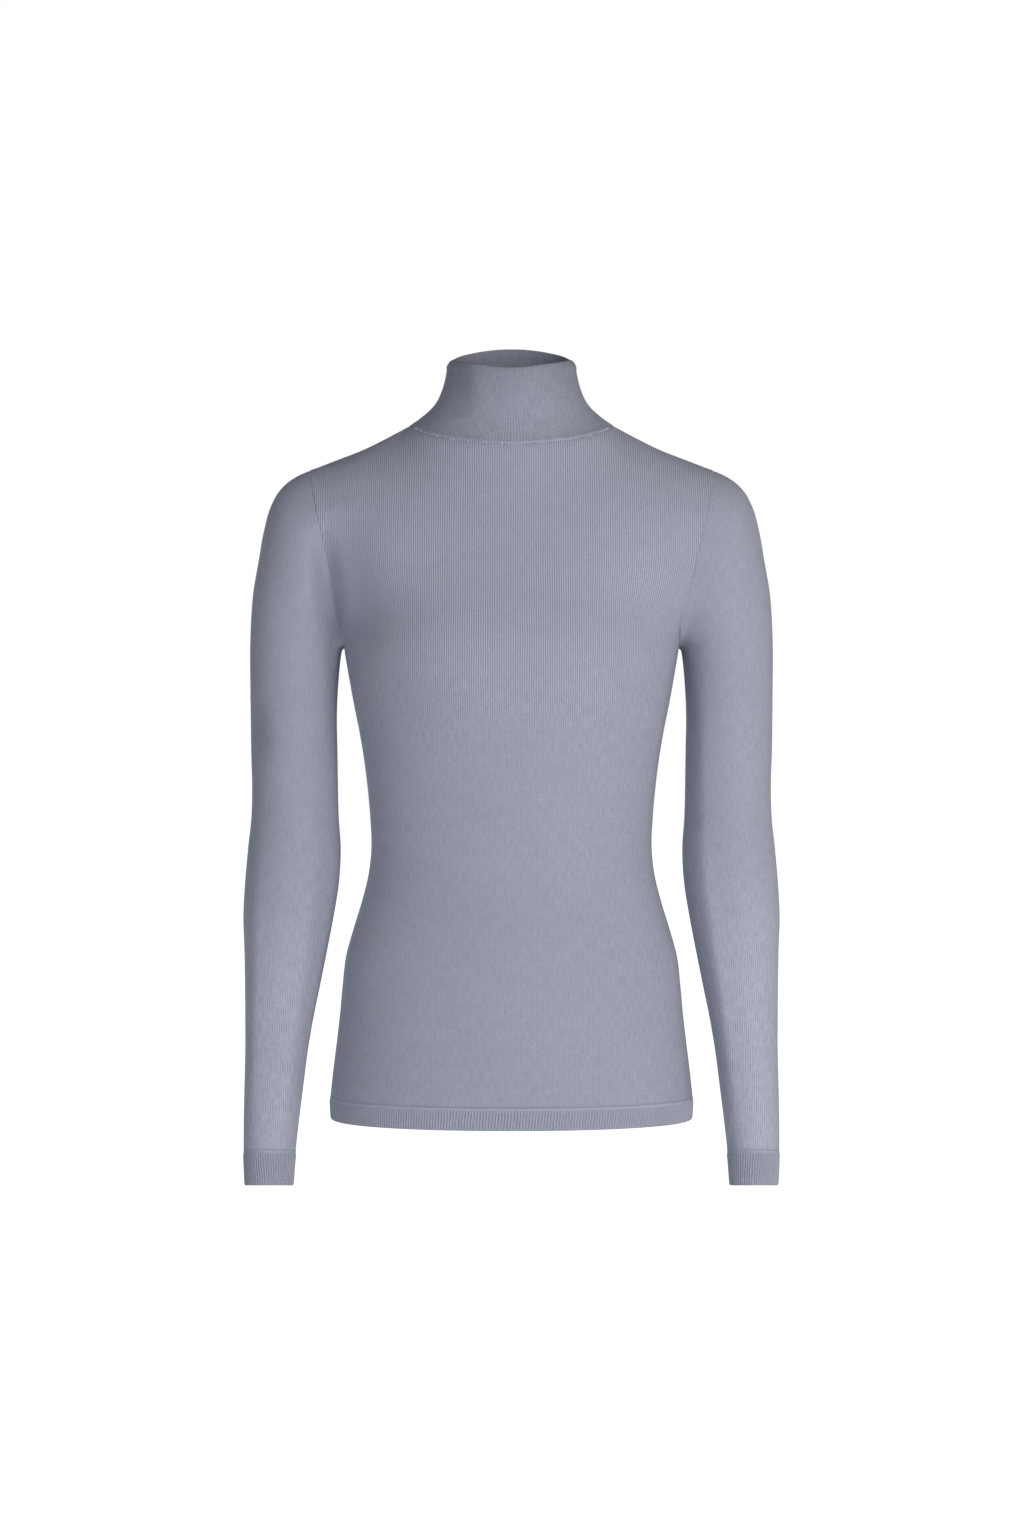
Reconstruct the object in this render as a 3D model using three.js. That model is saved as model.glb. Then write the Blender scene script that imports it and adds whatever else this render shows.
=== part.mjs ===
// Fine-knit turtleneck sweater, filled out as when it is worn, open at the neck, hem and cuffs.
// Millimetres, +Z up, the front faces -Y. The origin lies midway between the shoulders, at the
// height where the shoulder seams meet the collar.
import * as THREE from "three";

// Cloth
const CLOTH = 1.6;
const COLLAR_WALL = 3.2;
const COLLAR_STEP = 0.8;
const COLLAR_CREST = 1.3;
const RIB_WALL = 1.6;
const RIB_RISE = 0.7;
const SEAM_GAP = 0.3;

// Heights of the seams and edges
const HEM_EDGE_Z = -620.6;
const HEM_SEAM_Z = -601.5;
const ARMPIT_Z = -199;
const ARMHOLE_MIDDLE_Z = -119;
const YOKE_CENTRE_Z = -112;
const CUFF_SEAM_Z = -648;
const CUFF_EDGE_Z = -678;

// Ribs round the two edges and how far each edge draws in
const HEM_RIBS_PER_HALF = 165;
const CUFF_RIBS = 64;
const HEM_DRAW_IN = 0.9;
const CUFF_DRAW_IN = 0.9;

// Grid of the panels and sleeves
const PANEL_COLUMNS = 24;
const NECK_COLUMNS = 14;
const SHOULDER_COLUMNS = (PANEL_COLUMNS - NECK_COLUMNS) / 2;
const BODY_ROWS = 16;
const ARMHOLE_ROWS = 5;
const YOKE_ROWS = 5;
const SLEEVE_ROWS = 15;
const HEM_INSIDE_STEPS = 48;
const CUFF_INSIDE_STEPS = 24;

// Side seams of the body: height and half of the width
const SIDES = [
  { z: -621, half: 163.0 },
  { z: -601, half: 162.9 },
  { z: -570, half: 159.4 },
  { z: -535, half: 155.1 },
  { z: -500, half: 151.8 },
  { z: -479, half: 149.6 },
  { z: -461, half: 145.2 },
  { z: -443, half: 139.9 },
  { z: -425, half: 134.4 },
  { z: -407, half: 129.6 },
  { z: -389, half: 127.1 },
  { z: -371, half: 125.9 },
  { z: -353, half: 126.9 },
  { z: -317, half: 130.2 },
  { z: -281, half: 135.4 },
  { z: -245, half: 142.5 },
  { z: -209, half: 148.8 },
  { z: -199, half: 150.4 },
];

// Centre lines of the front and the back: depth of each from the plane of the side seams
const CENTRES = [
  { z: -621, front: 106.5, back: 115 },
  { z: -570, front: 107, back: 116 },
  { z: -520, front: 104.5, back: 110 },
  { z: -460, front: 97, back: 93 },
  { z: -415, front: 90, back: 77 },
  { z: -375, front: 87, back: 70 },
  { z: -320, front: 94.5, back: 73 },
  { z: -275, front: 106, back: 79 },
  { z: -240, front: 113, back: 83.5 },
  { z: -212, front: 115, back: 86 },
  { z: -185, front: 111.5, back: 88 },
  { z: -155, front: 102.5, back: 89 },
  { z: -120, front: 91, back: 87.5 },
  { z: -60, front: 76, back: 80 },
  { z: -21, front: 66, back: 72 },
  { z: 8, front: 62, back: 64 },
];

// How much squarer than an ellipse a level section is
const SQUARENESS = { front: 0.1, back: 0.12 };

// Soft fullness of the front
const FULLNESS = { x: 70, z: -205, wide: 40, above: 60, below: 44, depth: 4.5 };

// Armhole seam seen from the front, and its reach to the front and the back
const ARMHOLE = [
  { z: -199, x: 150.4 },
  { z: -188, x: 150.6 },
  { z: -175, x: 151.4 },
  { z: -161, x: 154.2 },
  { z: -147, x: 157.8 },
  { z: -119, x: 163.5 },
  { z: -90, x: 171.5 },
];
const ARMHOLE_REACH = { front: 56, back: 62 };
const YOKE_FLATTENING = 0.62;
const YOKE_EVENNESS = 0.3;

// How strongly the yoke's lines keep their direction at the chest and at its upper seams
const CHEST_PULL = 1.6;
const SHOULDER_PULL = 1.4;
const NECK_PULL = 1.0;

// Passes that ease the upper part of a panel between its seams, in and then out again
const EASED_BODY_ROWS = 2;
const EASE_PASSES = 8;
const EASE_IN = 0.5;
const EASE_OUT = -0.52;

// Shoulder seam from the collar to the sleeve
const SHOULDER = [
  { x: 91.3, z: 1.8 },
  { x: 111.8, z: -9.2 },
  { x: 132.8, z: -19.6 },
  { x: 160.7, z: -30.5 },
  { x: 181, z: -38.4 },
];

// Collar rings: half width, reach to the front and back, and the height at front, side and back
const COLLAR = [
  { half: 91.3, front: 66, back: 64, lowFront: -21, side: 1.8, highBack: 8 },
  { half: 83.6, front: 63.2, back: 61.6, lowFront: -13.5, side: 7.3, highBack: 14.5 },
  { half: 76.9, front: 61.2, back: 59.8, lowFront: -6.5, side: 12.7, highBack: 21.5 },
  { half: 71.2, front: 59.8, back: 58.5, lowFront: 0.5, side: 18.2, highBack: 28.5 },
  { half: 66.4, front: 58.7, back: 57.5, lowFront: 8, side: 25, highBack: 36.5 },
  { half: 62.8, front: 57.9, back: 56.8, lowFront: 18, side: 33.5, highBack: 46.5 },
  { half: 60.1, front: 57.3, back: 56.3, lowFront: 29, side: 42, highBack: 58 },
  { half: 58.4, front: 57, back: 56, lowFront: 39, side: 50, highBack: 68.5 },
  { half: 57.3, front: 56.4, back: 55.4, lowFront: 46.6, side: 57.2, highBack: 76.4 },
];

// Slope of the cloth where it meets the collar, up from level
const NECK_SLOPE_DEG = { front: 66, side: 33, back: 62 };

// Sleeve head: the outline's distance from the underarm, by its angle up from level
const UNDERARM = { x: 151, z: -201, fold: 2 };
const SLEEVE_HEAD = [
  { up: 0, reach: 84.35 },
  { up: 6.9, reach: 85 },
  { up: 18.7, reach: 88.1 },
  { up: 29.3, reach: 94.3 },
  { up: 38.8, reach: 102.5 },
  { up: 47.1, reach: 112.2 },
  { up: 53.8, reach: 124.2 },
  { up: 59.6, reach: 137.1 },
  { up: 65.2, reach: 150 },
  { up: 69.2, reach: 156.8 },
  { up: 73.05, reach: 161.2 },
  { up: 76.9, reach: 163.8 },
  { up: 79.6, reach: 165.3 },
];
const HEAD_ANGLES_DEG = [75.4, 71.4, 67.4, 63, 56, 46, 33, 18, 0];
const HEAD_DEPTH = { armhole: 59, arm: 46, y: 3 };

// Sleeve sections: centre, half width, half depth, and how much the ring falls towards the back
const SLEEVE = [
  { z: -678, x: 216.3, half: 22.2, y: -25, deep: 28.5, fall: 0.13 },
  { z: -648, x: 216.0, half: 23.2, y: -21, deep: 29.5, fall: 0.13 },
  { z: -624, x: 214.9, half: 24.5, y: -18, deep: 31, fall: 0.13 },
  { z: -599, x: 213.4, half: 25.9, y: -14.5, deep: 32.5, fall: 0.12 },
  { z: -570, x: 211.4, half: 27.4, y: -10.5, deep: 34, fall: 0.11 },
  { z: -545, x: 209.8, half: 29.1, y: -7, deep: 35.5, fall: 0.1 },
  { z: -520, x: 207.6, half: 31.7, y: -4, deep: 37, fall: 0.085 },
  { z: -500, x: 205.8, half: 33.9, y: -1, deep: 38.5, fall: 0.07 },
  { z: -480, x: 204.1, half: 36.2, y: 1.5, deep: 40, fall: 0.055 },
  { z: -462, x: 202.7, half: 38.1, y: 4, deep: 41, fall: 0.04 },
  { z: -444, x: 201.5, half: 40.3, y: 6, deep: 42.5, fall: 0.03 },
  { z: -426, x: 199.6, half: 41.6, y: 8, deep: 43.5, fall: 0.02 },
  { z: -408, x: 198.0, half: 42.4, y: 9.5, deep: 44, fall: 0.01 },
  { z: -390, x: 196.4, half: 42.3, y: 10.5, deep: 44, fall: 0 },
  { z: -372, x: 196.0, half: 41.4, y: 11, deep: 43.7, fall: 0 },
  { z: -355, x: 195.6, half: 39.7, y: 11, deep: 43.5, fall: 0 },
  { z: -335, x: 195.2, half: 38.7, y: 10, deep: 43.6, fall: 0 },
  { z: -290, x: 196.0, half: 38.9, y: 8, deep: 44, fall: 0 },
  { z: -245, x: 196.2, half: 39.0, y: 5, deep: 45, fall: 0 },
  { z: -201, x: 194.2, half: 41.15, y: 3, deep: 46, fall: 0 },
];

const KNIT_COLOUR = 0x989ba8;
const RIB_COLOUR = 0x9598a5;

// Small steps for slopes and for comparing shares
const STEP = 1e-3;
const ROUNDING = 1e-9;

const mix = THREE.MathUtils.lerp;
const radians = THREE.MathUtils.degToRad;
const point = (x, y, z) => new THREE.Vector3(x, y, z);

// A smooth function through one column of a table, by another column
function columnOf(table, key, name) {
  const rows = [...table].sort((a, b) => a[key] - b[key]);
  const slopes = rows.map((row, i) => {
    const before = rows[Math.max(i - 1, 0)];
    const after = rows[Math.min(i + 1, rows.length - 1)];
    return (after[name] - before[name]) / (after[key] - before[key]);
  });
  return (at) => {
    let i = 0;
    while (i < rows.length - 2 && at > rows[i + 1][key]) i += 1;
    const span = rows[i + 1][key] - rows[i][key];
    const t = THREE.MathUtils.clamp((at - rows[i][key]) / span, 0, 1);
    return hermite(rows[i][name], slopes[i] * span, rows[i + 1][name], slopes[i + 1] * span, t);
  };
}

function hermite(from, fromSlope, to, toSlope, t) {
  const s = 1 - t;
  return from * s * s * (1 + 2 * t) + fromSlope * t * s * s
    + to * t * t * (3 - 2 * t) - toSlope * t * t * s;
}

const sideHalf = columnOf(SIDES, "z", "half");
const centreDepth = { front: columnOf(CENTRES, "z", "front"), back: columnOf(CENTRES, "z", "back") };
const armholeX = columnOf(ARMHOLE, "z", "x");
const shoulderZ = columnOf(SHOULDER, "x", "z");
const headReach = columnOf(SLEEVE_HEAD, "up", "reach");
const sleeveColumn = Object.fromEntries(
  ["x", "half", "y", "deep", "fall"].map((name) => [name, columnOf(SLEEVE, "z", name)]),
);

const towards = { front: -1, back: 1 };

function fullness(face, x, z) {
  if (face === "back") return 0;
  const tall = z > FULLNESS.z ? FULLNESS.above : FULLNESS.below;
  const across = (Math.abs(x) - FULLNESS.x) / FULLNESS.wide;
  const up = (z - FULLNESS.z) / tall;
  return FULLNESS.depth * Math.exp(-across * across - up * up);
}

// Part of an ellipse between two edge points: u runs from -1 to 1 across the panel, and even is
// how evenly the points are spread over the width
function arcPoint(face, u, edge, centre, spread, even = 0) {
  const acrossShare = mix(Math.sin((u * Math.PI) / 2), u, even);
  const t = Math.asin(THREE.MathUtils.clamp(acrossShare, -1, 1) * Math.sin(spread));
  const share = (Math.cos(t) - Math.cos(spread)) / (1 - Math.cos(spread));
  const squarer = 1 + SQUARENESS[face] * Math.sin(t) ** 2;
  const x = edge.x * acrossShare;
  const z = mix(centre.z, edge.z, Math.abs(u) ** 3);
  const depth = edge.depth + (centre.depth - edge.depth) * share * squarer + fullness(face, x, z);
  return point(-towards[face] * x, towards[face] * depth, z);
}

function bodyPoint(face, u, z) {
  const edge = { x: sideHalf(z), depth: 0, z };
  return arcPoint(face, u, edge, { depth: centreDepth[face](z), z }, Math.PI / 2);
}

// Rows beside the lower half of the armhole: turn runs from 0 at the underarm to 90 degrees
function armholeRowPoint(face, u, turn) {
  const part = turn / (Math.PI / 2);
  const z = ARMHOLE_MIDDLE_Z - (ARMHOLE_MIDDLE_Z - ARMPIT_Z) * Math.cos(turn);
  const edge = { x: armholeX(z), depth: ARMHOLE_REACH[face] * Math.sin(turn), z };
  const centreZ = mix(ARMPIT_Z, YOKE_CENTRE_Z, part);
  const centre = { depth: centreDepth[face](centreZ), z: centreZ };
  const spread = Math.acos(edge.depth / centre.depth) * mix(1, YOKE_FLATTENING, part);
  return arcPoint(face, u, edge, centre, spread, YOKE_EVENNESS * part);
}

// Point on a collar ring: angle 0 is the centre front, a half turn is the centre back
function collarPoint(ring, angle) {
  const c = Math.cos(angle);
  const lean = (ring.lowFront - ring.highBack) / 2;
  const bow = (ring.lowFront + ring.highBack) / 2 - ring.side;
  const reach = c > 0 ? ring.front : ring.back;
  return point(ring.half * Math.sin(angle), -reach * c, ring.side + lean * c + bow * c * c);
}

// Upper edge of a panel: the neckline in the middle, a shoulder seam on either side of it
const NECK_SHARE = NECK_COLUMNS / PANEL_COLUMNS;

// Angle round the collar for a point of the neckline, on the +X half
function neckAngle(face, size) {
  const fromCentre = Math.min(size / NECK_SHARE, 1) * (Math.PI / 2);
  return face === "front" ? fromCentre : Math.PI - fromCentre;
}

function topPoint(face, u) {
  const size = Math.abs(u);
  const hand = -towards[face] * Math.sign(u);
  if (size <= NECK_SHARE + ROUNDING) {
    const p = collarPoint(COLLAR[0], neckAngle(face, size));
    return point(hand * p.x, p.y, p.z);
  }
  const x = mix(SHOULDER[0].x, SHOULDER.at(-1).x, (size - NECK_SHARE) / (1 - NECK_SHARE));
  return point(hand * x, 0, shoulderZ(x));
}

// Direction in which the panel's cloth arrives at its upper edge: square to the neckline in the
// middle, square to the shoulder seam at the sleeve, and halfway where the two seams meet
function topDirection(face, u) {
  const size = Math.abs(u);
  const over = point(0, -towards[face], 0);
  const hand = -towards[face] * Math.sign(u);
  if (size > NECK_SHARE + ROUNDING) {
    const x = topPoint(face, size).x * -towards[face];
    const ridge = point(-1, 0, (shoulderZ(x - 1) - shoulderZ(x + 1)) / 2).normalize();
    const nearNeck = ((1 - size) / (1 - NECK_SHARE)) ** 4;
    const direction = over.lerp(ridge, nearNeck / 2).normalize();
    direction.x *= hand;
    return direction;
  }
  const angle = neckAngle(face, size);
  const toCentre = Math.cos(angle) ** 2;
  const slope = radians(mix(NECK_SLOPE_DEG.side, NECK_SLOPE_DEG[face], toCentre));
  const inward = point(-Math.sin(angle), Math.cos(angle), 0);
  const climb = inward.multiplyScalar(Math.cos(slope)).add(point(0, 0, Math.sin(slope)));
  const along = collarPoint(COLLAR[0], angle + STEP).sub(collarPoint(COLLAR[0], angle - STEP));
  if (along.dot(over) < 0) along.negate();
  const direction = climb.lerp(along.normalize(), (1 - toCentre) ** 3 / 2).normalize();
  direction.x *= hand;
  return direction;
}

function yokePoint(face, u, t) {
  const quarter = Math.PI / 2;
  const from = armholeRowPoint(face, u, quarter);
  const rate = from.clone().sub(armholeRowPoint(face, u, quarter - STEP)).divideScalar(STEP);
  const to = topPoint(face, u);
  const onShoulder = THREE.MathUtils.smoothstep(Math.abs(u), NECK_SHARE * 0.4, 1);
  const pull = mix(
    from.distanceTo(to) * NECK_PULL,
    Math.abs(from.y) * SHOULDER_PULL,
    onShoulder,
  );
  const arrive = topDirection(face, u).multiplyScalar(pull);
  const leave = rate.multiplyScalar(CHEST_PULL);
  const at = (axis) => hermite(from[axis], leave[axis], to[axis], arrive[axis], t);
  return point(at("x"), at("y"), at("z"));
}

function panelGrid(face) {
  const rows = [];
  const across = [...Array(PANEL_COLUMNS + 1).keys()].map((i) => (2 * i) / PANEL_COLUMNS - 1);
  for (let i = 0; i <= BODY_ROWS; i += 1) {
    const z = mix(HEM_SEAM_Z, ARMPIT_Z, i / BODY_ROWS);
    rows.push(across.map((u) => bodyPoint(face, u, z)));
  }
  for (let i = 1; i <= ARMHOLE_ROWS; i += 1) {
    const turn = ((i / ARMHOLE_ROWS) * Math.PI) / 2;
    rows.push(across.map((u) => armholeRowPoint(face, u, turn)));
  }
  for (let i = 1; i <= YOKE_ROWS; i += 1) {
    rows.push(across.map((u) => yokePoint(face, u, i / YOKE_ROWS)));
  }
  for (let pass = 0; pass < EASE_PASSES; pass += 1) {
    ease(rows, EASE_IN);
    ease(rows, EASE_OUT);
  }
  return rows;
}

// Moves the points inside the upper part of a panel towards the mean of their neighbours
function ease(rows, by) {
  const before = rows.map((row) => row.map((p) => p.clone()));
  for (let i = BODY_ROWS - EASED_BODY_ROWS; i < rows.length - 1; i += 1) {
    for (let j = 1; j < rows[i].length - 1; j += 1) {
      const mean = before[i - 1][j].clone().add(before[i + 1][j]);
      mean.add(before[i][j - 1]).add(before[i][j + 1]).multiplyScalar(0.25);
      rows[i][j].lerp(mean, by);
    }
  }
}

// Normals of a grid of points, by the differences along and across it
function normalsOf(grid, closed) {
  const last = grid.length - 1;
  return grid.map((row, i) => row.map((p, j) => {
    const count = row.length;
    const next = closed ? (j + 1) % count : Math.min(j + 1, count - 1);
    const before = closed ? (j + count - 1) % count : Math.max(j - 1, 0);
    const across = row[next].clone().sub(row[before]);
    const up = grid[Math.min(i + 1, last)][j].clone().sub(grid[Math.max(i - 1, 0)][j]);
    return across.cross(up).normalize();
  }));
}

// Both sides of a seam get the mean of their normals
function shareNormals(a, b) {
  a.forEach((normal, i) => {
    const mean = normal.clone().add(b[i]).normalize();
    normal.copy(mean);
    b[i].copy(mean);
  });
}

// Half of the seam's gap, square to the seam, towards the piece's own next point
function insetAt(line, normals, i, next, closed) {
  const count = line.length;
  const after = line[closed ? (i + 1) % count : Math.min(i + 1, count - 1)];
  const before = line[closed ? (i + count - 1) % count : Math.max(i - 1, 0)];
  const square = after.clone().sub(before).cross(normals[i]).normalize();
  if (square.dot(next.clone().sub(line[i])) < 0) square.negate();
  return square.multiplyScalar(SEAM_GAP / 2);
}

const column = (grid, j) => grid.map((row) => row.at(j));

// Turns normals into the plane that is square to an axis
function flattenNormals(normals, axis) {
  normals.forEach((normal) => {
    normal.addScaledVector(axis, -normal.dot(axis)).normalize();
  });
}

const offset = (line, normals, by) => line.map((p, i) => p.clone().addScaledVector(normals[i], by));

// A closed wall from a cycle of lines: each is stitched to the next, and the last to the first.
// Lines may have different counts. Open lines also get a cap at either end.
function wallGeometry(lines, closedLines) {
  const positions = [];
  const indices = [];
  const ids = lines.map((line) => line.map((p) => {
    positions.push(p.x, p.y, p.z);
    return positions.length / 3 - 1;
  }));
  ids.forEach((ring, k) => stitch(ring, ids[(k + 1) % ids.length], closedLines, indices));
  if (!closedLines) {
    cap(ids.map((ring) => ring[0]), indices, true);
    cap(ids.map((ring) => ring.at(-1)), indices, false);
  }
  const geometry = new THREE.BufferGeometry();
  geometry.setAttribute("position", new THREE.Float32BufferAttribute(positions, 3));
  geometry.setIndex(indices);
  if (signedVolume(geometry) < 0) geometry.setIndex(reversed(indices));
  geometry.computeVertexNormals();
  return geometry;
}

function stitch(a, b, closed, indices) {
  const stepsA = closed ? a.length : a.length - 1;
  const stepsB = closed ? b.length : b.length - 1;
  let i = 0;
  let j = 0;
  while (i < stepsA || j < stepsB) {
    const from = a[i % a.length];
    const to = b[j % b.length];
    if (j === stepsB || (i < stepsA && (i + 1) / stepsA <= (j + 1) / stepsB + ROUNDING)) {
      i += 1;
      indices.push(from, a[i % a.length], to);
    } else {
      j += 1;
      indices.push(from, b[j % b.length], to);
    }
  }
}

function cap(loop, indices, atStart) {
  for (let i = 0, j = loop.length - 1; i + 1 <= j; i += 1, j -= 1) {
    const triangles = [[loop[i], loop[i + 1], loop[j]]];
    if (i + 1 < j - 1) triangles.push([loop[i + 1], loop[j - 1], loop[j]]);
    triangles.forEach((t) => indices.push(...(atStart ? t : [...t].reverse())));
    if (i + 1 >= j - 1) break;
  }
}

function reversed(indices) {
  const out = [];
  for (let i = 0; i < indices.length; i += 3) out.push(indices[i], indices[i + 2], indices[i + 1]);
  return out;
}

function signedVolume(geometry) {
  const p = geometry.getAttribute("position");
  const index = geometry.getIndex();
  const corner = (k) => new THREE.Vector3().fromBufferAttribute(p, index.getX(k));
  let sum = 0;
  for (let k = 0; k < index.count; k += 3) sum += corner(k).dot(corner(k + 1).cross(corner(k + 2)));
  return sum / 6;
}

// Sleeve head ring: a section of the arm in a plane that turns about the underarm fold
function headPoint(upDeg, around) {
  const top = SLEEVE_HEAD.at(-1).up;
  const part = (upDeg / top) ** 2;
  const reach = mix(UNDERARM.fold, headReach(upDeg), (1 - Math.cos(around)) / 2);
  const deep = mix(HEAD_DEPTH.arm, HEAD_DEPTH.armhole, part);
  const up = radians(upDeg);
  return point(
    UNDERARM.x + reach * Math.cos(up),
    HEAD_DEPTH.y - deep * Math.sin(around),
    UNDERARM.z + reach * Math.sin(up),
  );
}

function armPoint(z, around, drawIn = 0) {
  const deep = sleeveColumn.deep(z) - drawIn;
  const half = sleeveColumn.half(z) - drawIn;
  const outOfCentre = -deep * Math.sin(around);
  return point(
    sleeveColumn.x(z) - half * Math.cos(around),
    sleeveColumn.y(z) + outOfCentre,
    z - sleeveColumn.fall(z) * outOfCentre,
  );
}

// Rings of the sleeve at +X, from its armhole to the cuff seam
function sleeveGrid(armhole) {
  const count = armhole.length;
  const angles = armhole.map((_, i) => (2 * Math.PI * i) / count);
  const top = SLEEVE_HEAD.at(-1).up;
  const rows = [armhole];
  HEAD_ANGLES_DEG.forEach((up) => {
    const hold = (up / top) ** 3;
    rows.push(angles.map((around, i) => {
      const off = armhole[i].clone().sub(headPoint(top, around));
      return headPoint(up, around).addScaledVector(off, hold);
    }));
  });
  for (let i = 1; i <= SLEEVE_ROWS; i += 1) {
    const z = mix(UNDERARM.z, CUFF_SEAM_Z, i / SLEEVE_ROWS);
    rows.push(angles.map((around) => armPoint(z, around)));
  }
  return rows;
}

const forearmAxis = point(0, SLEEVE[0].fall, 1).normalize();

// A point of the neckline moved on, away from the collar
function awayFromCollar(face, u, p) {
  const above = collarPoint(COLLAR[1], neckAngle(face, Math.abs(u)));
  above.x *= -towards[face] * Math.sign(u);
  return p.clone().multiplyScalar(2).sub(above);
}

function panelWall(face, grid, normals) {
  const last = grid.length - 1;
  const width = grid[0].length - 1;
  const shift = grid.map((row) => row.map(() => point(0, 0, 0)));
  grid[0].forEach((_, j) => shift[0][j].add(insetAt(grid[0], normals[0], j, grid[1][j], false)));
  const neckTo = SHOULDER_COLUMNS + NECK_COLUMNS;
  const seams = [[0, SHOULDER_COLUMNS], [SHOULDER_COLUMNS, neckTo], [neckTo, width]];
  seams.forEach(([from, to], part) => {
    const line = grid[last].slice(from, to + 1);
    const lineNormals = normals[last].slice(from, to + 1);
    line.forEach((p, j) => {
      const u = (2 * (from + j)) / PANEL_COLUMNS - 1;
      const next = part === 1 ? awayFromCollar(face, u, p) : grid[last - 1][from + j];
      shift[last][from + j].add(insetAt(line, lineNormals, j, next, false));
    });
  });
  [[0, 1], [width, width - 1]].forEach(([edge, next]) => {
    const line = column(grid, edge);
    const lineNormals = column(normals, edge);
    line.forEach((_, i) => shift[i][edge].add(insetAt(line, lineNormals, i, grid[i][next], false)));
  });
  const outer = grid.map((row, i) => row.map((p, j) => p.clone().add(shift[i][j])));
  const inner = outer.map((row, i) => offset(row, normals[i], -CLOTH));
  return wallGeometry([...outer, ...inner.reverse()], false);
}

function sleeveWall(grid, normals) {
  const last = grid.length - 1;
  const ends = { 0: grid[1], [last]: grid[last - 1] };
  const outer = grid.map((row, i) => row.map((p, j) => {
    const moved = p.clone();
    if (ends[i]) moved.add(insetAt(row, normals[i], j, ends[i][j], true));
    return moved;
  }));
  const inner = outer.map((row, i) => offset(row, normals[i], -CLOTH));
  return wallGeometry([...outer, ...inner.reverse()], true);
}

// The doubled collar: outer wall, rounded fold along its top, inner wall
function collarWall(grid, normals) {
  const first = grid[0].map((p, j) => p.clone()
    .addScaledVector(normals[0][j], COLLAR_STEP)
    .add(insetAt(grid[0], normals[0], j, grid[1][j], true)));
  const outer = [first, ...grid.slice(1)];
  const inner = outer.map((row, i) => offset(row, normals[i], -COLLAR_WALL));
  const top = outer.length - 1;
  const crest = outer[top].map((p, j) => {
    const middle = p.clone().lerp(inner[top][j], 0.5);
    return middle.add(p.clone().sub(outer[top - 1][j]).setLength(COLLAR_CREST));
  });
  return wallGeometry([...outer, crest, ...inner.reverse()], true);
}

// Every second point of a line stands out as the crown of a rib
function ribbed(line, normals) {
  return line.map((p, i) => p.clone().addScaledVector(normals[i], i % 2 ? RIB_RISE : 0));
}

// A ribbed band between a seam line and an edge line over a plain inside
function ribWall(place, steps, insideSteps, closed) {
  const band = (level, samples) => {
    const shares = [...Array(closed ? samples : samples + 1).keys()].map((i) => i / samples);
    return {
      line: shares.map((share) => place(share, level)),
      normals: shares.map((share) => place.normal(share, level)),
    };
  };
  const seam = band(0, steps);
  const edge = band(1, steps);
  const insideSeam = band(0, insideSteps);
  const insideEdge = band(1, insideSteps);
  return wallGeometry([
    ribbed(seam.line, seam.normals),
    ribbed(edge.line, edge.normals),
    offset(insideEdge.line, insideEdge.normals, -RIB_WALL),
    offset(insideSeam.line, insideSeam.normals, -RIB_WALL),
  ], closed);
}

// Normal of a level or leaning ring at a share of its length, from its neighbours
function ringNormal(place, share, level, axis) {
  const along = place(share + STEP, level).sub(place(share - STEP, level));
  return along.cross(axis).normalize();
}

function hemPlace(face) {
  const place = (share, level) => {
    const z = mix(HEM_SEAM_Z, HEM_EDGE_Z, level);
    const drawIn = HEM_DRAW_IN * level;
    const edge = { x: sideHalf(z) - drawIn, depth: 0, z };
    const centre = { depth: centreDepth[face](z) - drawIn, z };
    const p = arcPoint(face, 2 * share - 1, edge, centre, Math.PI / 2);
    if (level === 0) p.z -= SEAM_GAP / 2;
    return p;
  };
  const up = point(0, 0, 1);
  const placeAndGap = (share, level) => {
    const p = place(share, level);
    if (share < ROUNDING || share > 1 - ROUNDING) p.y += (towards[face] * SEAM_GAP) / 2;
    return p;
  };
  placeAndGap.normal = (share, level) => {
    const inside = THREE.MathUtils.clamp(share, STEP, 1 - STEP);
    return ringNormal(place, inside, level, up);
  };
  return placeAndGap;
}

function hemWall(face) {
  return ribWall(hemPlace(face), 2 * HEM_RIBS_PER_HALF, HEM_INSIDE_STEPS, false);
}

function cuffPlace() {
  const place = (share, level) => {
    const z = mix(CUFF_SEAM_Z, CUFF_EDGE_Z, level);
    const p = armPoint(z, 2 * Math.PI * share, CUFF_DRAW_IN * level);
    if (level === 0) p.addScaledVector(forearmAxis, -SEAM_GAP / 2);
    return p;
  };
  place.normal = (share, level) => ringNormal(place, share, level, forearmAxis).negate();
  return place;
}

function mirrored(geometry) {
  const copy = geometry.clone();
  copy.applyMatrix4(new THREE.Matrix4().makeScale(-1, 1, 1));
  copy.setIndex(reversed([...copy.getIndex().array]));
  copy.computeVertexNormals();
  return copy;
}

const sweater = new THREE.Group();

function addPiece(name, geometry, colour) {
  const material = new THREE.MeshStandardMaterial({ color: colour, roughness: 0.95, metalness: 0 });
  const mesh = new THREE.Mesh(geometry, material);
  mesh.name = name;
  sweater.add(mesh);
}

// Panels. The back runs from +X to -X, so its first column meets the front's last one.
const front = panelGrid("front");
const back = panelGrid("back");
const frontNormals = normalsOf(front, false);
const backNormals = normalsOf(back, false);

// Sleeve at +X: up the front of the armhole, over the shoulder and down the back
const frontEdge = column(front, -1).slice(BODY_ROWS);
const backEdge = column(back, 0).slice(BODY_ROWS);
const armhole = [...frontEdge, ...backEdge.slice(1, -1).reverse()];
const sleeve = sleeveGrid(armhole);
const sleeveNormals = normalsOf(sleeve, true);
sleeveNormals.forEach((row) => row.forEach((normal) => normal.negate()));

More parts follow.
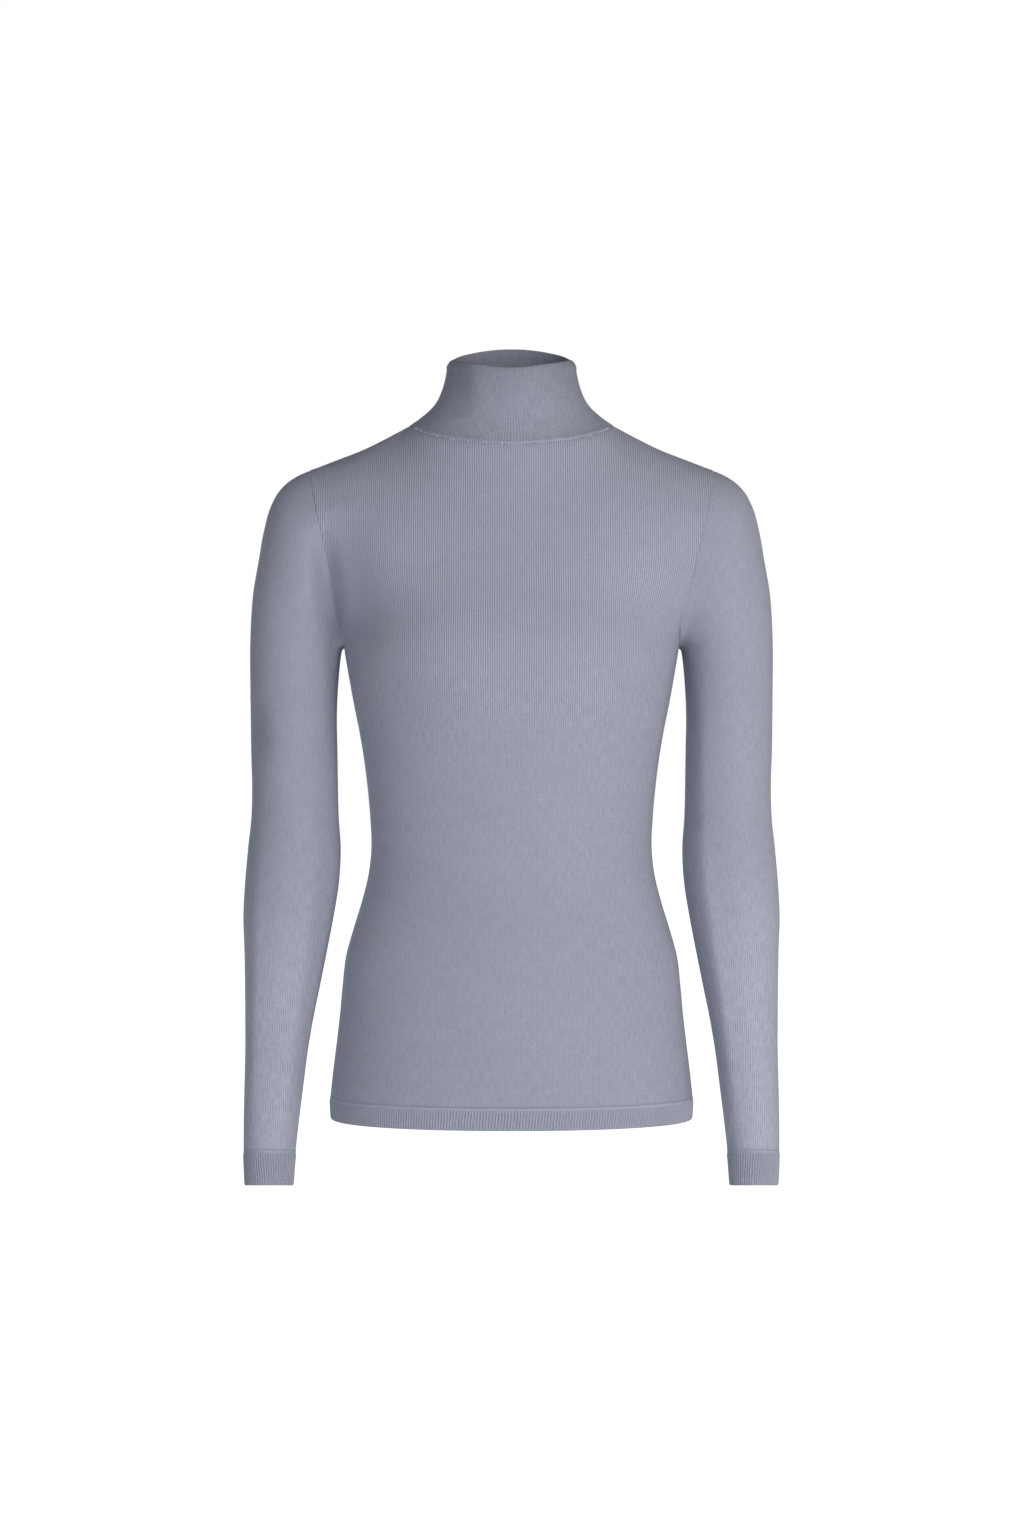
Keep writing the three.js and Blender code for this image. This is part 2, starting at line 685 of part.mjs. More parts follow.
// Collar: once round from the centre front towards +X
const collarSteps = 2 * NECK_COLUMNS;
const collarAngles = [...Array(collarSteps).keys()].map((i) => (2 * Math.PI * i) / collarSteps);
const collar = COLLAR.map((ring) => collarAngles.map((angle) => collarPoint(ring, angle)));
const collarNormals = normalsOf(collar, true);

// Shared normals along each seam
const cuffNormals = sleeveNormals.at(-1);
flattenNormals(cuffNormals, forearmAxis);
flattenNormals(frontNormals[0], point(0, 0, 1));
flattenNormals(backNormals[0], point(0, 0, 1));

const below = BODY_ROWS + 1;
shareNormals(column(frontNormals, -1).slice(0, below), column(backNormals, 0).slice(0, below));
shareNormals(column(frontNormals, 0).slice(0, below), column(backNormals, -1).slice(0, below));

const frontTop = frontNormals.at(-1);
const backTop = backNormals.at(-1);
const shoulderPoints = SHOULDER_COLUMNS + 1;
shareNormals(frontTop.slice(-shoulderPoints), backTop.slice(0, shoulderPoints).reverse());
shareNormals(frontTop.slice(0, shoulderPoints), backTop.slice(-shoulderPoints).reverse());

function mirrorX(vector) {
  return point(-vector.x, vector.y, vector.z);
}

const armholeNormals = [
  ...column(frontNormals, -1).slice(BODY_ROWS),
  ...column(backNormals, 0).slice(BODY_ROWS).slice(1, -1).reverse(),
];
shareNormals(armholeNormals, sleeveNormals[0]);
for (let i = BODY_ROWS; i < frontNormals.length; i += 1) {
  frontNormals[i].at(0).copy(mirrorX(frontNormals[i].at(-1)));
  backNormals[i].at(-1).copy(mirrorX(backNormals[i].at(0)));
}
backNormals[BODY_ROWS].at(0).copy(frontNormals[BODY_ROWS].at(-1));
backNormals[BODY_ROWS].at(-1).copy(frontNormals[BODY_ROWS].at(0));
backTop.at(0).copy(frontTop.at(-1));
backTop.at(-1).copy(frontTop.at(0));

const middle = PANEL_COLUMNS / 2;
const halfNeck = NECK_COLUMNS / 2;
collarNormals[0].forEach((normal, i) => {
  const fromFront = i <= halfNeck || i >= collarSteps - halfNeck;
  const place = i <= collarSteps / 2 ? i : i - collarSteps;
  const panelNormal = fromFront
    ? frontTop[middle + place]
    : backTop[middle - Math.sign(place) * (collarSteps / 2 - Math.abs(place))];
  const mean = normal.clone().add(panelNormal).normalize();
  normal.copy(mean);
  panelNormal.copy(mean);
});
backTop[middle - halfNeck].copy(frontTop[middle + halfNeck]);
backTop[middle + halfNeck].copy(frontTop[middle - halfNeck]);

addPiece("front", panelWall("front", front, frontNormals), KNIT_COLOUR);
addPiece("back", panelWall("back", back, backNormals), KNIT_COLOUR);

const sleeveGeometry = sleeveWall(sleeve, sleeveNormals);
addPiece("sleeve_left", sleeveGeometry, KNIT_COLOUR);
addPiece("sleeve_right", mirrored(sleeveGeometry), KNIT_COLOUR);

addPiece("collar", collarWall(collar, collarNormals), KNIT_COLOUR);

addPiece("hem_front", hemWall("front"), RIB_COLOUR);
addPiece("hem_back", hemWall("back"), RIB_COLOUR);

const cuffGeometry = ribWall(cuffPlace(), 2 * CUFF_RIBS, CUFF_INSIDE_STEPS, true);
addPiece("cuff_left", cuffGeometry, RIB_COLOUR);
addPiece("cuff_right", mirrored(cuffGeometry), RIB_COLOUR);

export default sweater;
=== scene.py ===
import math

import bpy
import numpy as np
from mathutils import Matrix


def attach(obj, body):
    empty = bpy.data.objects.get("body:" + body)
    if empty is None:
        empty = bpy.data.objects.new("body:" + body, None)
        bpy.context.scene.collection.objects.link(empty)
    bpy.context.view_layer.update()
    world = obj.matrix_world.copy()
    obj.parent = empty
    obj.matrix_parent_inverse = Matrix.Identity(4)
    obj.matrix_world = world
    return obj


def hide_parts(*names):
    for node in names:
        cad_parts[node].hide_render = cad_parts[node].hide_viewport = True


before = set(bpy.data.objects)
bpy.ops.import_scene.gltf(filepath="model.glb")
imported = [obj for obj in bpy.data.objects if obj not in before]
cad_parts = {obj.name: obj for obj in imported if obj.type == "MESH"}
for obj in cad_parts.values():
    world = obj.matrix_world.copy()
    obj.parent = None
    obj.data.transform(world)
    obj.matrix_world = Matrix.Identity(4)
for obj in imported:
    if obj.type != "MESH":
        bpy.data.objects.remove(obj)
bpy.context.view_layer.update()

# Fine-knit turtleneck sweater, worn shape with no wearer. Tables are in millimetres, in the
# frame's axes: +Z up, front towards -Y, origin between the shoulders.
MM = 0.001


def rows_of(names, *rows):
    """A table: the names of its columns, then its rows."""
    return [dict(zip(names.split(), row)) for row in rows]


# Cloth
CLOTH = 1.6
COLLAR_WALL = 3.2
COLLAR_STEP = 0.8
COLLAR_CREST = 1.5
RIB_WALL = 1.6
RIB_RISE = 0.7

# Heights of the seams and edges
HEM_EDGE_Z = -620.6
HEM_SEAM_Z = -601.5
ARMPIT_Z = -199
ARMHOLE_MIDDLE_Z = -119
YOKE_CENTRE_Z = -112
CUFF_SEAM_Z = -648
CUFF_EDGE_Z = -678

# Ribs and how far each edge draws in
HEM_RIBS_PER_HALF = 190
CUFF_RIBS = 64
HEM_DRAW_IN = 0.9
CUFF_DRAW_IN = 0.9

# Knit: width of a wale and height of a course
WALE = 2.0
COURSE = 1.95
COLLAR_WALES = 196

# Grid that the surfaces pass through
PANEL_COLUMNS = 24
NECK_COLUMNS = 14
NECK_SHARE = NECK_COLUMNS / PANEL_COLUMNS
BODY_ROWS = 16
ARMHOLE_ROWS = 5
YOKE_ROWS = 5
SLEEVE_ROWS = 15

SIDES = rows_of(
    "z half",
    (-621, 163.0), (-601, 162.9), (-570, 159.4), (-535, 155.1), (-500, 151.8), (-479, 149.6),
    (-461, 145.2), (-443, 139.9), (-425, 134.4), (-407, 129.6), (-389, 127.1), (-371, 125.9),
    (-353, 126.9), (-317, 130.2), (-281, 135.4), (-245, 142.5), (-209, 148.8), (-199, 150.4))
CENTRES = rows_of(
    "z front back",
    (-621, 106.5, 115), (-570, 107, 116), (-520, 104.5, 110), (-460, 97, 93), (-415, 90, 77),
    (-375, 87, 70), (-320, 94.5, 73), (-275, 106, 79), (-240, 113, 83.5), (-212, 115, 86),
    (-185, 111.5, 88), (-155, 102.5, 89), (-120, 91, 87.5), (-60, 76, 80), (-21, 66, 72),
    (8, 62, 64))
SQUARENESS = dict(front=0.1, back=0.12)
FULLNESS = dict(x=70, z=-205, wide=40, above=60, below=44, depth=4.5)
ARMHOLE = rows_of(
    "z x",
    (-199, 150.4), (-188, 150.6), (-175, 151.4), (-161, 154.2), (-147, 157.8), (-119, 163.5),
    (-90, 171.5))
ARMHOLE_REACH = dict(front=56, back=62)
YOKE_FLATTENING = 0.62
YOKE_EVENNESS = 0.3
CHEST_PULL = 1.6
SHOULDER_PULL = 1.4
NECK_PULL = 1.0
EASED_BODY_ROWS = 2
EASE_PASSES = 8
EASE_IN = 0.5
EASE_OUT = -0.52
SHOULDER = rows_of(
    "x z",
    (91.3, 1.8), (111.8, -9.2), (132.8, -19.6), (160.7, -30.5), (181, -38.4))
COLLAR = rows_of(
    "half front back low_front side high_back",
    (91.3, 66, 64, -21, 1.8, 8), (83.6, 63.2, 61.6, -13.5, 7.3, 14.5),
    (76.9, 61.2, 59.8, -6.5, 12.7, 21.5), (71.2, 59.8, 58.5, 0.5, 18.2, 28.5),
    (66.4, 58.7, 57.5, 8, 25, 36.5), (62.8, 57.9, 56.8, 18, 33.5, 46.5),
    (60.1, 57.3, 56.3, 29, 42, 58), (58.4, 57, 56, 39, 50, 68.5),
    (57.3, 56.4, 55.4, 46.6, 57.2, 76.4))
NECK_SLOPE_DEG = dict(front=66, side=33, back=62)
UNDERARM = dict(x=151, z=-201, fold=2)
SLEEVE_HEAD = rows_of(
    "up reach",
    (0, 84.35), (6.9, 85), (18.7, 88.1), (29.3, 94.3), (38.8, 102.5), (47.1, 112.2),
    (53.8, 124.2), (59.6, 137.1), (65.2, 150), (69.2, 156.8), (73.05, 161.2), (76.9, 163.8),
    (79.6, 165.3))
HEAD_ANGLES_DEG = [75.4, 71.4, 67.4, 63, 56, 46, 33, 18, 0]
HEAD_DEPTH = dict(armhole=59, arm=46, y=3)
SLEEVE = rows_of(
    "z x half y deep fall",
    (-678, 216.3, 22.2, -25, 28.5, 0.13), (-648, 216.0, 23.2, -21, 29.5, 0.13),
    (-624, 214.9, 24.5, -18, 31, 0.13), (-599, 213.4, 25.9, -14.5, 32.5, 0.12),
    (-570, 211.4, 27.4, -10.5, 34, 0.11), (-545, 209.8, 29.1, -7, 35.5, 0.1),
    (-520, 207.6, 31.7, -4, 37, 0.085), (-500, 205.8, 33.9, -1, 38.5, 0.07),
    (-480, 204.1, 36.2, 1.5, 40, 0.055), (-462, 202.7, 38.1, 4, 41, 0.04),
    (-444, 201.5, 40.3, 6, 42.5, 0.03), (-426, 199.6, 41.6, 8, 43.5, 0.02),
    (-408, 198.0, 42.4, 9.5, 44, 0.01), (-390, 196.4, 42.3, 10.5, 44, 0),
    (-372, 196.0, 41.4, 11, 43.7, 0), (-355, 195.6, 39.7, 11, 43.5, 0),
    (-335, 195.2, 38.7, 10, 43.6, 0), (-290, 196.0, 38.9, 8, 44, 0),
    (-245, 196.2, 39.0, 5, 45, 0), (-201, 194.2, 41.15, 3, 46, 0))

STEP = 1e-3
ROUNDING = 1e-9
TINY = 1e-12
TOWARDS = dict(front=-1, back=1)


def mix(a, b, t):
    return a + (b - a) * t


def hermite(start, start_slope, end, end_slope, t):
    s = 1 - t
    return (start * s * s * (1 + 2 * t) + start_slope * t * s * s
            + end * t * t * (3 - 2 * t) - end_slope * t * t * s)


def column_of(table, key, name):
    """A smooth function through one column of a table, by another column."""
    rows = sorted(table, key=lambda row: row[key])
    keys = np.array([row[key] for row in rows], float)
    values = np.array([row[name] for row in rows], float)
    after = np.minimum(np.arange(len(rows)) + 1, len(rows) - 1)
    before = np.maximum(np.arange(len(rows)) - 1, 0)
    slopes = (values[after] - values[before]) / (keys[after] - keys[before])

    def at(x):
        x = np.asarray(x, float)
        i = np.clip(np.searchsorted(keys, x, side="left") - 1, 0, len(keys) - 2)
        span = keys[i + 1] - keys[i]
        t = np.clip((x - keys[i]) / span, 0, 1)
        return hermite(values[i], slopes[i] * span, values[i + 1], slopes[i + 1] * span, t)

    return at


side_half = column_of(SIDES, "z", "half")
centre_depth = {face: column_of(CENTRES, "z", face) for face in TOWARDS}
armhole_x = column_of(ARMHOLE, "z", "x")
shoulder_z = column_of(SHOULDER, "x", "z")
head_reach = column_of(SLEEVE_HEAD, "up", "reach")
sleeve_at = {name: column_of(SLEEVE, "z", name) for name in ("x", "half", "y", "deep", "fall")}


def unit(vectors):
    return vectors / np.maximum(np.linalg.norm(vectors, axis=-1, keepdims=True), TINY)


def points(x, y, z):
    return np.stack(np.broadcast_arrays(x, y, z), axis=-1).astype(float)


# Body panels

def fullness(face, x, z):
    if face == "back":
        return np.zeros(np.broadcast(x, z).shape)
    tall = np.where(z > FULLNESS["z"], FULLNESS["above"], FULLNESS["below"])
    across = (np.abs(x) - FULLNESS["x"]) / FULLNESS["wide"]
    up = (z - FULLNESS["z"]) / tall
    return FULLNESS["depth"] * np.exp(-across * across - up * up)


def arc_points(face, u, edge, centre, spread, even=0.0):
    """Part of an ellipse between two edge points; u runs from -1 to 1 across the panel."""
    share_across = mix(np.sin(u * math.pi / 2), u, even)
    t = np.arcsin(np.clip(share_across, -1, 1) * math.sin(spread))
    share = (np.cos(t) - math.cos(spread)) / (1 - math.cos(spread))
    squarer = 1 + SQUARENESS[face] * np.sin(t) ** 2
    x = edge["x"] * share_across
    z = mix(centre["z"], edge["z"], np.abs(u) ** 3)
    depth = edge["depth"] + (centre["depth"] - edge["depth"]) * share * squarer
    depth = depth + fullness(face, x, z)
    return points(-TOWARDS[face] * x, TOWARDS[face] * depth, z)


def body_row(face, u, z):
    edge = dict(x=side_half(z), depth=0, z=z)
    return arc_points(face, u, edge, dict(depth=centre_depth[face](z), z=z), math.pi / 2)


def armhole_row(face, u, turn):
    part = turn / (math.pi / 2)
    z = ARMHOLE_MIDDLE_Z - (ARMHOLE_MIDDLE_Z - ARMPIT_Z) * math.cos(turn)
    edge = dict(x=armhole_x(z), depth=ARMHOLE_REACH[face] * math.sin(turn), z=z)
    centre_z = mix(ARMPIT_Z, YOKE_CENTRE_Z, part)
    centre = dict(depth=centre_depth[face](centre_z), z=centre_z)
    spread = math.acos(edge["depth"] / centre["depth"]) * mix(1, YOKE_FLATTENING, part)
    return arc_points(face, u, edge, centre, spread, YOKE_EVENNESS * part)


def collar_ring(ring, angle):
    c = np.cos(angle)
    lean = (ring["low_front"] - ring["high_back"]) / 2
    bow = (ring["low_front"] + ring["high_back"]) / 2 - ring["side"]
    reach = np.where(c > 0, ring["front"], ring["back"])
    return points(ring["half"] * np.sin(angle), -reach * c, ring["side"] + lean * c + bow * c * c)


def neck_angle(face, size):
    from_centre = min(size / NECK_SHARE, 1) * math.pi / 2
    return from_centre if face == "front" else math.pi - from_centre


def top_point(face, u):
    size = abs(u)
    hand = -TOWARDS[face] * np.sign(u)
    if size <= NECK_SHARE + ROUNDING:
        p = collar_ring(COLLAR[0], neck_angle(face, size))
        return p * (hand, 1, 1)
    x = mix(SHOULDER[0]["x"], SHOULDER[-1]["x"], (size - NECK_SHARE) / (1 - NECK_SHARE))
    return points(hand * x, 0, shoulder_z(x))


def top_direction(face, u):
    size = abs(u)
    over = np.array((0, -TOWARDS[face], 0), float)
    hand = -TOWARDS[face] * np.sign(u)
    if size > NECK_SHARE + ROUNDING:
        x = abs(top_point(face, size)[0])
        ridge = unit(np.array((-1, 0, (shoulder_z(x - 1) - shoulder_z(x + 1)) / 2)))
        near_neck = ((1 - size) / (1 - NECK_SHARE)) ** 4
        return unit(mix(over, ridge, near_neck / 2)) * (hand, 1, 1)
    angle = neck_angle(face, size)
    to_centre = math.cos(angle) ** 2
    slope = math.radians(mix(NECK_SLOPE_DEG["side"], NECK_SLOPE_DEG[face], to_centre))
    climb = np.array((-math.sin(angle) * math.cos(slope), math.cos(angle) * math.cos(slope),
                      math.sin(slope)))
    along = unit(collar_ring(COLLAR[0], angle + STEP) - collar_ring(COLLAR[0], angle - STEP))
    along = along * (1 if along @ over >= 0 else -1)
    return unit(mix(climb, along, (1 - to_centre) ** 3 / 2)) * (hand, 1, 1)


def smoothstep(x, low, high):
    t = np.clip((x - low) / (high - low), 0, 1)
    return t * t * (3 - 2 * t)


# Where along the neck the panel's pull starts to change to the shoulder's
PULL_FROM = 0.4


def top_pull(face, u):
    start = armhole_row(face, np.array([u]), math.pi / 2)[0]
    reach = np.linalg.norm(top_point(face, u) - start) * NECK_PULL
    return mix(reach, abs(start[1]) * SHOULDER_PULL, smoothstep(abs(u), NECK_SHARE * PULL_FROM, 1))


def yoke_column(face, u, shares):
    quarter = math.pi / 2
    at = np.array([u])
    start = armhole_row(face, at, quarter)[0]
    rate = (start - armhole_row(face, at, quarter - STEP)[0]) / STEP
    end = top_point(face, u)
    pull = top_direction(face, u) * top_pull(face, u)
    return hermite(start, rate * CHEST_PULL, end, pull, shares[:, None])


def ease(rows, by):
    low = BODY_ROWS - EASED_BODY_ROWS
    mean = (rows[:-2, 1:-1] + rows[2:, 1:-1] + rows[1:-1, :-2] + rows[1:-1, 2:]) / 4
    inside = rows[1:-1, 1:-1].copy()
    moved = mix(inside, mean, by)
    inside[low - 1:] = moved[low - 1:]
    rows[1:-1, 1:-1] = inside


def panel_grid(face):
    u = np.arange(PANEL_COLUMNS + 1) * 2 / PANEL_COLUMNS - 1
    rows = [body_row(face, u, z) for z in np.linspace(HEM_SEAM_Z, ARMPIT_Z, BODY_ROWS + 1)]
    turns = np.linspace(0, math.pi / 2, ARMHOLE_ROWS + 1)[1:]
    rows += [armhole_row(face, u, turn) for turn in turns]
    shares = np.linspace(0, 1, YOKE_ROWS + 1)[1:]
    yoke = np.stack([yoke_column(face, x, shares) for x in u], axis=1)
    grid = np.concatenate([np.stack(rows), yoke])
    for _ in range(EASE_PASSES):
        ease(grid, EASE_IN)
        ease(grid, EASE_OUT)
    return grid


# Sleeves

def head_ring(up_deg, around):
    part = (up_deg / SLEEVE_HEAD[-1]["up"]) ** 2
    reach = mix(UNDERARM["fold"], head_reach(up_deg), (1 - np.cos(around)) / 2)
    deep = mix(HEAD_DEPTH["arm"], HEAD_DEPTH["armhole"], part)
    up = math.radians(up_deg)
    return points(UNDERARM["x"] + reach * math.cos(up), HEAD_DEPTH["y"] - deep * np.sin(around),
                  UNDERARM["z"] + reach * math.sin(up))


def arm_ring(z, around, draw_in=0.0):
    out = -(sleeve_at["deep"](z) - draw_in) * np.sin(around)
    return points(sleeve_at["x"](z) - (sleeve_at["half"](z) - draw_in) * np.cos(around),
                  sleeve_at["y"](z) + out, z - sleeve_at["fall"](z) * out)


def sleeve_grid(armhole):
    around = np.arange(len(armhole)) * 2 * math.pi / len(armhole)
    top = SLEEVE_HEAD[-1]["up"]
    off = armhole - head_ring(top, around)
    rows = [armhole]
    rows += [head_ring(up, around) + off * (up / top) ** 3 for up in HEAD_ANGLES_DEG]
    levels = np.linspace(UNDERARM["z"], CUFF_SEAM_Z, SLEEVE_ROWS + 1)[1:]
    rows += [arm_ring(z, around) for z in levels]
    return np.stack(rows)


# Fine grids through the coarse ones

def spline_matrix(count, params):
    """Weights of a smooth curve through count points with one more beyond each end."""
    params = np.asarray(params, float)
    cell = np.clip(np.floor(params + ROUNDING).astype(int), 0, count - 2)
    t = params - cell
    weights = np.stack([(-t + 2 * t**2 - t**3) / 2, (2 - 5 * t**2 + 3 * t**3) / 2,
                        (t + 4 * t**2 - 3 * t**3) / 2, (-t**2 + t**3) / 2])
    matrix = np.zeros((len(params), count + 2))
    for k in range(4):
        matrix[np.arange(len(params)), cell + k] += weights[k]
    return matrix


def spline_rows(grid, params, last_rate=None):
    """Smooth curves through the rows of a grid, which may lie unevenly and which has one more
    row beyond each end. last_rate: how far the last row's curves go on in one cell."""
    gaps = np.linalg.norm(np.diff(grid, axis=0), axis=-1, keepdims=True) + ROUNDING
    slopes = np.diff(grid, axis=0) / gaps
    rates = (slopes[:-1] * gaps[1:] + slopes[1:] * gaps[:-1]) / (gaps[:-1] + gaps[1:])
    cell = np.clip(np.floor(params + ROUNDING).astype(int), 0, len(grid) - 4)
    t = (params - cell)[:, None, None]
    start_rate = (rates[:-1] * gaps[1:-1])[cell]
    end_rate = rates[1:] * gaps[1:-1]
    if last_rate is not None:
        end_rate[-1] = last_rate
    start, end = grid[1:-2][cell], grid[2:-1][cell]
    swing = start_rate * (t - 2 * t**2 + t**3) + end_rate[cell] * (t**3 - t**2)
    return mix(start, end, 3 * t**2 - 2 * t**3) + swing


def run_on(first, second):
    """The line that a grid reaches one step past its first line."""
    return 2 * first - second


def refine_ring(grid, row_params, column_params, first_row=None, last_row=None):
    """Fine points of a grid whose lines are closed."""
    first = run_on(grid[0], grid[1]) if first_row is None else first_row
    last = run_on(grid[-1], grid[-2]) if last_row is None else last_row
    grid = np.concatenate([first[None], grid, last[None]])
    rows = spline_rows(grid, row_params)
    padded = np.concatenate([rows[:, -1:], rows, rows[:, :2]], axis=1)
    return np.einsum("ijk,cj->ick", padded, spline_matrix(padded.shape[1] - 2, column_params))


# Closer lines beside a seam, as shares of a cell
EDGE_SHARES = (0.03, 0.07, 0.12, 0.18, 0.25)
LEAST_SHARE = 0.02


def steps(cells, per_cell, close_start=False, close_end=False):
    params = np.arange(cells * per_cell + 1) / per_cell
    extra = [share for share in EDGE_SHARES if close_start]
    extra += [cells - share for share in EDGE_SHARES if close_end]
    merged = np.sort(np.concatenate([params, extra]))
    merged = merged[np.concatenate([[True], np.diff(merged) > LEAST_SHARE])]
    merged[-1] = cells
    return merged


def lengths(grid, axis):
    """Distance along a grid's lines, from the first point of each."""
    parts = np.linalg.norm(np.diff(grid, axis=axis), axis=-1)
    start = np.zeros_like(np.take(parts, [0], axis=axis))
    return np.cumsum(np.concatenate([start, parts], axis=axis), axis=axis)


def grid_normals(grid, wrap, sign):
    if wrap:
        across = np.roll(grid, -1, axis=1) - np.roll(grid, 1, axis=1)
    else:
        across = np.gradient(grid, axis=1)
    up = np.gradient(grid, axis=0)
    return unit(np.cross(across, up)) * sign


# Meshes

def scene_object(name, mesh):
    obj = bpy.data.objects.new(name, mesh)
    bpy.context.scene.collection.objects.link(obj)
    return obj


def mesh_object(name, vertices, faces, uvs, slots):
    """Vertices in millimetres, a knit coordinate for each corner in metres, and a material
    slot for each face."""
    mesh = bpy.data.meshes.new(name)
    mesh.from_pydata((np.asarray(vertices) * MM).tolist(), [], faces)
    layer = mesh.uv_layers.new(name="knit")
    layer.data.foreach_set("uv", np.asarray(uvs, dtype=np.float32).ravel())
    mesh.polygons.foreach_set("use_smooth", [True] * len(mesh.polygons))
    mesh.polygons.foreach_set("material_index", slots)
    mesh.update()
    return scene_object(name, mesh)


def wall_object(name, lines, line_uvs, closed, flip, inside_from):
    """A closed wall from a cycle of lines of the same count. line_uvs holds the knit
    coordinates of each line, with one more column where the lines are closed. Faces from the
    line inside_from on are the inside of the cloth."""
    lines = np.asarray(lines)
    line_uvs = np.asarray(line_uvs)
    count, width = lines.shape[:2]
    cells = width if closed else width - 1
    k, j = np.meshgrid(np.arange(count), np.arange(cells), indexing="ij")
    k2, j2 = (k + 1) % count, (j + 1) % width
    corners = [(k, j, j), (k, j2, j + 1), (k2, j2, j + 1), (k2, j, j)]
    if flip:
        corners.reverse()
    faces = np.stack([row * width + column for row, column, _ in corners], axis=-1)
    uvs = np.stack([line_uvs[row, column] for row, _, column in corners], axis=-2)
    slots = (k >= inside_from).astype(int).ravel().tolist()
    faces = faces.reshape(-1, 4).tolist()
    uvs = [uvs.reshape(-1, 2)]
    if not closed:
        for end, turn in ((0, flip), (width - 1, not flip)):
            for i in range(count // 2 - 1):
                quad = [i, i + 1, count - 2 - i, count - 1 - i]
                quad = quad[::-1] if turn else quad
                faces.append([q * width + end for q in quad])
                uvs.append(line_uvs[quad, end])
                slots.append(0)
    return mesh_object(name, lines.reshape(-1, 3), faces, np.concatenate(uvs), slots)


def mirror_x(obj, name):
    mesh = obj.data.copy()
    coords = np.empty(len(mesh.vertices) * 3)
    mesh.vertices.foreach_get("co", coords)
    coords = coords.reshape(-1, 3) * (-1, 1, 1)
    mesh.vertices.foreach_set("co", coords.ravel())
    mesh.flip_normals()
    mesh.name = name
    return scene_object(name, mesh)


# Seams: the cloth dips where two pieces are joined and swells beside it, over the allowance;
# at the armholes the panel lies a little proud of the sleeve
SEAM_DIP = dict(panel=-0.3, sleeve=0.55, underarm=0.6, shoulder=0.4, width=1.7)
SEAM_SWELL = dict(panel=0.25, sleeve=0.1, underarm=0.2, shoulder=0.2, off=3.2, width=1.7)


def seam_profile(distance, side):
    dip = SEAM_DIP[side] * np.exp(-(distance / SEAM_DIP["width"]) ** 2)
    off = (distance - SEAM_SWELL["off"]) / SEAM_SWELL["width"]
    return SEAM_SWELL[side] * np.exp(-off * off) - dip


# Soft folds: ends across and up, how wide and how high (below 0 for a trough), and the face
FOLDS = dict(
    collar=rows_of(
        "x z wide high face",
        ((-34, -29), (68, -4), 10, 1.2, "front"), ((-50, -46), (66, 4), 11, -1.5, "front"),
        ((44, 52), (60, 18), 8, -0.6, "front"), ((18, 34), (72, 22), 9, -0.9, "back"),
        ((-40, -30), (70, 24), 8, 0.8, "back")),
    front=rows_of(
        "x z wide high",
        ((-141, -118), (-203, -214), 7, -1.2), ((143, 121), (-206, -222), 6, -1.3),
        ((70, 122), (-236, -219), 12, -1.6), ((-122, -84), (-398, -383), 9, -0.8),
        ((96, 124), (-371, -388), 8, -0.9), ((-18, -12), (-395, -520), 16, -0.8)),
    back=rows_of(
        "x z wide high",
        ((-102, 34), (-366, -352), 11, -1.6), ((-22, 108), (-392, -405), 10, -1.3),
        ((-88, -30), (-421, -428), 9, -0.9), ((-139, -108), (-208, -226), 8, -1.4),
        ((141, 104), (-203, -216), 7, -1.2)),
    sleeve_left=rows_of(
        "x z wide high face",
        ((158, 180), (-356, -342), 4.5, -1.0, "front"),
        ((192, 222), (-466, -454), 4.5, -1.0, "front"),
        ((163, 186), (-401, -394), 6, -0.8, "front"), ((166, 214), (-372, -381), 7, -1.3, "back"),
        ((180, 236), (-412, -402), 8, -1.1, "back"), ((172, 205), (-236, -216), 8, -1.0, "back")),
    sleeve_right=rows_of(
        "x z wide high face",
        ((-236, -226), (-244, -300), 14, -4.0, "front"),
        ((-222, -196), (-306, -318), 10, 1.3, "front"),
        ((-184, -162), (-388, -398), 5.5, -0.9, "front"),
        ((-214, -168), (-378, -366), 7, -1.2, "back"),
        ((-232, -188), (-403, -415), 8, -1.2, "back"),
        ((-206, -176), (-219, -241), 8, -0.9, "back")),
)


# How a fold fades at its ends, how far round the body it goes, and how near a seam
FOLD_FADE = 0.7
FOLD_FACING = 0.35
FOLD_CLEAR = 9


def across_line(surface, ends):
    """How far along a line between two points of the front view each point of a surface is,
    0 to 1, and how far beside it."""
    start = np.array((ends["x"][0], ends["z"][0]), float)
    along = np.array((ends["x"][1], ends["z"][1]), float) - start
    length = np.linalg.norm(along)
    flat = surface[..., (0, 2)] - start
    beside = (flat[..., 0] * along[1] - flat[..., 1] * along[0]) / length
    return flat @ along / length**2, beside


def fold_heights(folds, surface, normals):
    total = np.zeros(surface.shape[:2])
    for fold in folds:
        share, beside = across_line(surface, fold)
        fade = np.cos(np.clip(np.abs(share - 0.5), 0, 0.5) * math.pi) ** FOLD_FADE
        shape = np.exp(-(beside / fold["wide"]) ** 2) * fade
        if "face" in fold:
            shape = shape * smoothstep(TOWARDS[fold["face"]] * normals[..., 1], 0, FOLD_FACING)
        total += fold["high"] * shape
    return total


